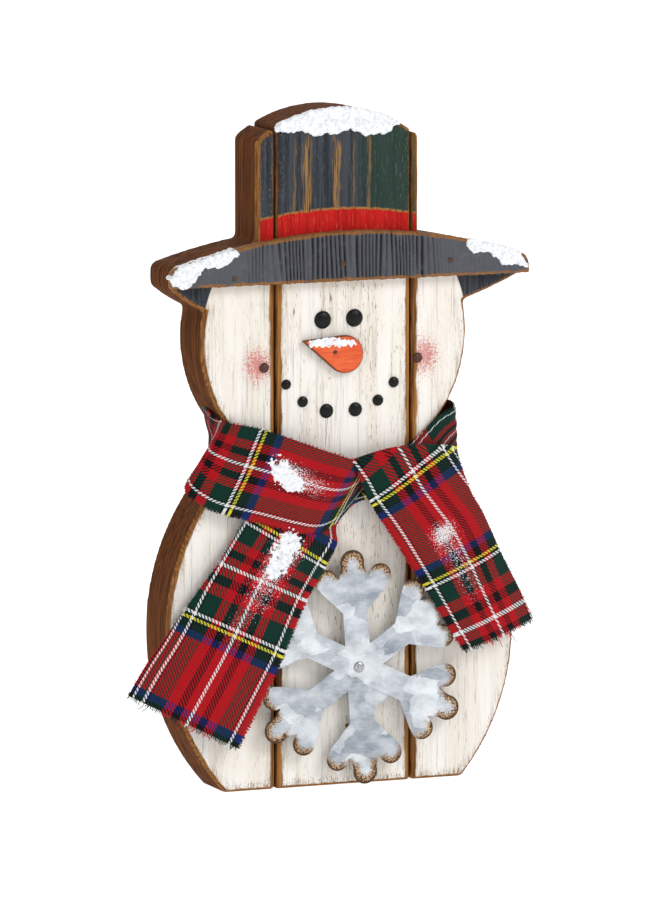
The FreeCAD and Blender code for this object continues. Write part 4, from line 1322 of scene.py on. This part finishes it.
def scarf_snow(rng, material, scarf):
    """Thick dabs of paste, dropped on to the cloth where a ray meets it."""
    cloth = BVHTree.FromObject(scarf, bpy.context.evaluated_depsgraph_get())
    centres = []
    for (ax, az), (bx, bz), radius in SOLID_DABS:
        for _ in range(BALLS_IN_DAB):
            t = rng.random()
            far = radius * math.sqrt(rng.random()) * (0.85 + 0.25 * math.sin(7 * t + ax))
            angle = rng.uniform(0, 2 * math.pi)
            x = ax + (bx - ax) * t + far * math.cos(angle)
            z = az + (bz - az) * t + far * math.sin(angle)
            hit = cloth.ray_cast(M(x, -60, z), Vector((0, 1, 0)))[0]
            if hit is None:
                continue
            size = rng.uniform(0.55, 1.0) * (1.15 - 0.5 * far / radius)
            centres.append((x, hit.y / MM + 0.05, z, size, 0.5))
    lumps("scarf_snow", centres, 0.36, material)


def make_snow(material, scarf):
    rng = np.random.default_rng(5)
    crown_snow(rng, material)
    brim_snow(rng, material, "left", -84.5, -53.5)
    brim_snow(rng, material, "right", 57.5, 85.5)
    nose_snow(rng, material)
    scarf_snow(rng, material, scarf)


# -------- small metal and wood
def plain_metal(name, light, dark, rough, metallic=0.9):
    p = Paint(name, Metallic=metallic)
    spot = p.noise(0.6, 3)
    colour = p.tint(spot, 0.35, 0.7, light, dark)
    p.bump(spot, 0.06, 0.4)
    return p.done(colour, p.between(spot, 0.3, 0.7, rough - 0.08, rough + 0.12))


def batten_material():
    p = Paint("batten_wood", Roughness=0.75)
    rings = p.noise((30, 4, 1.4), 4, 0.6)
    fine = p.noise((9, 1, 0.5), 3)
    colour = p.tint(rings, 0.3, 0.7, linear(122, 78, 42), linear(168, 118, 70))
    colour = p.tint(fine, 0.55, 0.75, colour, linear(84, 50, 26), 0.5)
    p.bump(p.add(rings, fine), 0.3, 0.5)
    return p.done(colour)


def make_batten(node, material):
    """A sawn strip with eased edges and a slightly rough face."""
    batten = copy_of(node, "sawn_" + node)
    remeshed(batten, 0.9, 3)
    points = points_mm(batten)
    outward = normals(batten)
    rough = smooth_noise(points, (12, 3, 1.6), 6) * 0.10
    back = points[:, 1] > BACK + 0.5
    points += outward * (rough * back)[:, None]
    set_points_mm(batten, points)
    return finish_piece(batten, material, "batten_wood", node)


def make_small_parts(zinc):
    steel = plain_metal("wire_steel", linear(150, 150, 150), linear(84, 80, 76), 0.4)
    rusty = plain_metal("brad_brown", linear(92, 66, 44), linear(48, 34, 26), 0.6, 0.4)
    dark = plain_metal("pin_dark", linear(96, 62, 44), linear(50, 30, 22), 0.6, 0.4)
    brass = plain_metal("small_brass", linear(190, 158, 92), linear(112, 84, 44), 0.45)
    for node, material in (("brim_brads", rusty), ("batten_brads", steel), ("nose_pin", dark),
                           ("board_nail", brass), ("scarf_staple", steel)):
        dress(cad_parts[node], material)
    standoff = copy_of("flake_standoff", "bent_standoff")
    applied(standoff, "BEVEL", width=0.25 * MM, segments=2, limit_method="ANGLE")
    count = len(standoff.data.vertices)
    set_fields(standoff, radius=[0.0] * count, edge=[9.0] * count)
    finish_piece(standoff, zinc, "galvanised_sheet", "flake_standoff")
    shank = 24.0
    centre = (FLAKE_CENTRE.x, FLAKE_NAIL_HIGH.y - shank, FLAKE_CENTRE.z)
    profile = dome_profile(2.4, 1.1, 1.2, shank)
    nail = turned("flake_pivot_nail", profile, centre, 40)
    bright = plain_metal("nail_steel", linear(190, 192, 194), linear(118, 120, 122), 0.4)
    finish_piece(nail, bright, "bright_steel", "flake_nail")


# -------- studio
def make_studio():
    """A white floor that curves up into a wall, three soft lights and a pale world; in metres."""
    bm = bmesh.new()
    depth = 6.5
    sweep = 0.9
    profile = [(-6.5, 0.0), (depth - sweep, 0.0)]
    profile += [(depth - sweep + sweep * math.sin(math.radians(a)),
                 sweep - sweep * math.cos(math.radians(a))) for a in range(10, 91, 10)]
    profile += [(depth, 7.0)]
    rows = [[bm.verts.new((x, y, z)) for y, z in profile] for x in (-8.0, 8.0)]
    for i in range(len(profile) - 1):
        bm.faces.new((rows[0][i], rows[1][i], rows[1][i + 1], rows[0][i + 1]))
    floor = shade_smooth(mesh_of(bm, "floor"))
    p = Paint("floor_paper", Roughness=0.95)
    p.shader.inputs["Emission Color"].default_value = (1.0, 1.0, 1.0, 1.0)
    p.shader.inputs["Emission Strength"].default_value = 0.92
    dress(floor, p.done((0.35, 0.35, 0.35, 1.0)))

    world = bpy.data.worlds.new("studio")
    world.use_nodes = True
    world.node_tree.nodes["Background"].inputs[0].default_value = (1.0, 1.0, 1.0, 1.0)
    world.node_tree.nodes["Background"].inputs[1].default_value = 0.55
    bpy.context.scene.world = world
    for name, where, size, power in (("key", (0.9, -1.4, 1.35), 0.8, 17.0),
                                     ("fill", (-1.5, -1.3, 0.8), 1.4, 5.0),
                                     ("back", (0.2, 1.6, 1.6), 1.6, 8.0)):
        data = bpy.data.lights.new(name, "AREA")
        data.size = size
        data.energy = power
        light = bpy.data.objects.new(name, data)
        light.location = where
        light.rotation_euler = (Vector(where) - Vector((0, 0, 0.15))).to_track_quat(
            "Z", "Y").to_euler()
        bpy.context.scene.collection.objects.link(light)
    bpy.context.scene.view_settings.view_transform = "Standard"


make_camera()
for index, board_node in enumerate(BOARDS):
    make_board(board_node, 37.0 * index)
make_brim()
make_nose()
make_domes()
zinc_sheet = zinc_material()
make_flake(zinc_sheet)
make_small_parts(zinc_sheet)
batten_wood = batten_material()
for batten_node in ("back_batten_lower", "back_batten_upper"):
    make_batten(batten_node, batten_wood)
tartan = tartan_material("tartan_twill")
scarf_piece, cloth_rows = make_scarf(tartan)
loose_ends = [make_cut_ends(cloth_rows, tartan_material("tartan_warp_threads", "warp")),
              make_side_fringe(cloth_rows, tartan_material("tartan_weft_threads", "weft"))]
make_snow(snow_material(), scarf_piece)
make_studio()
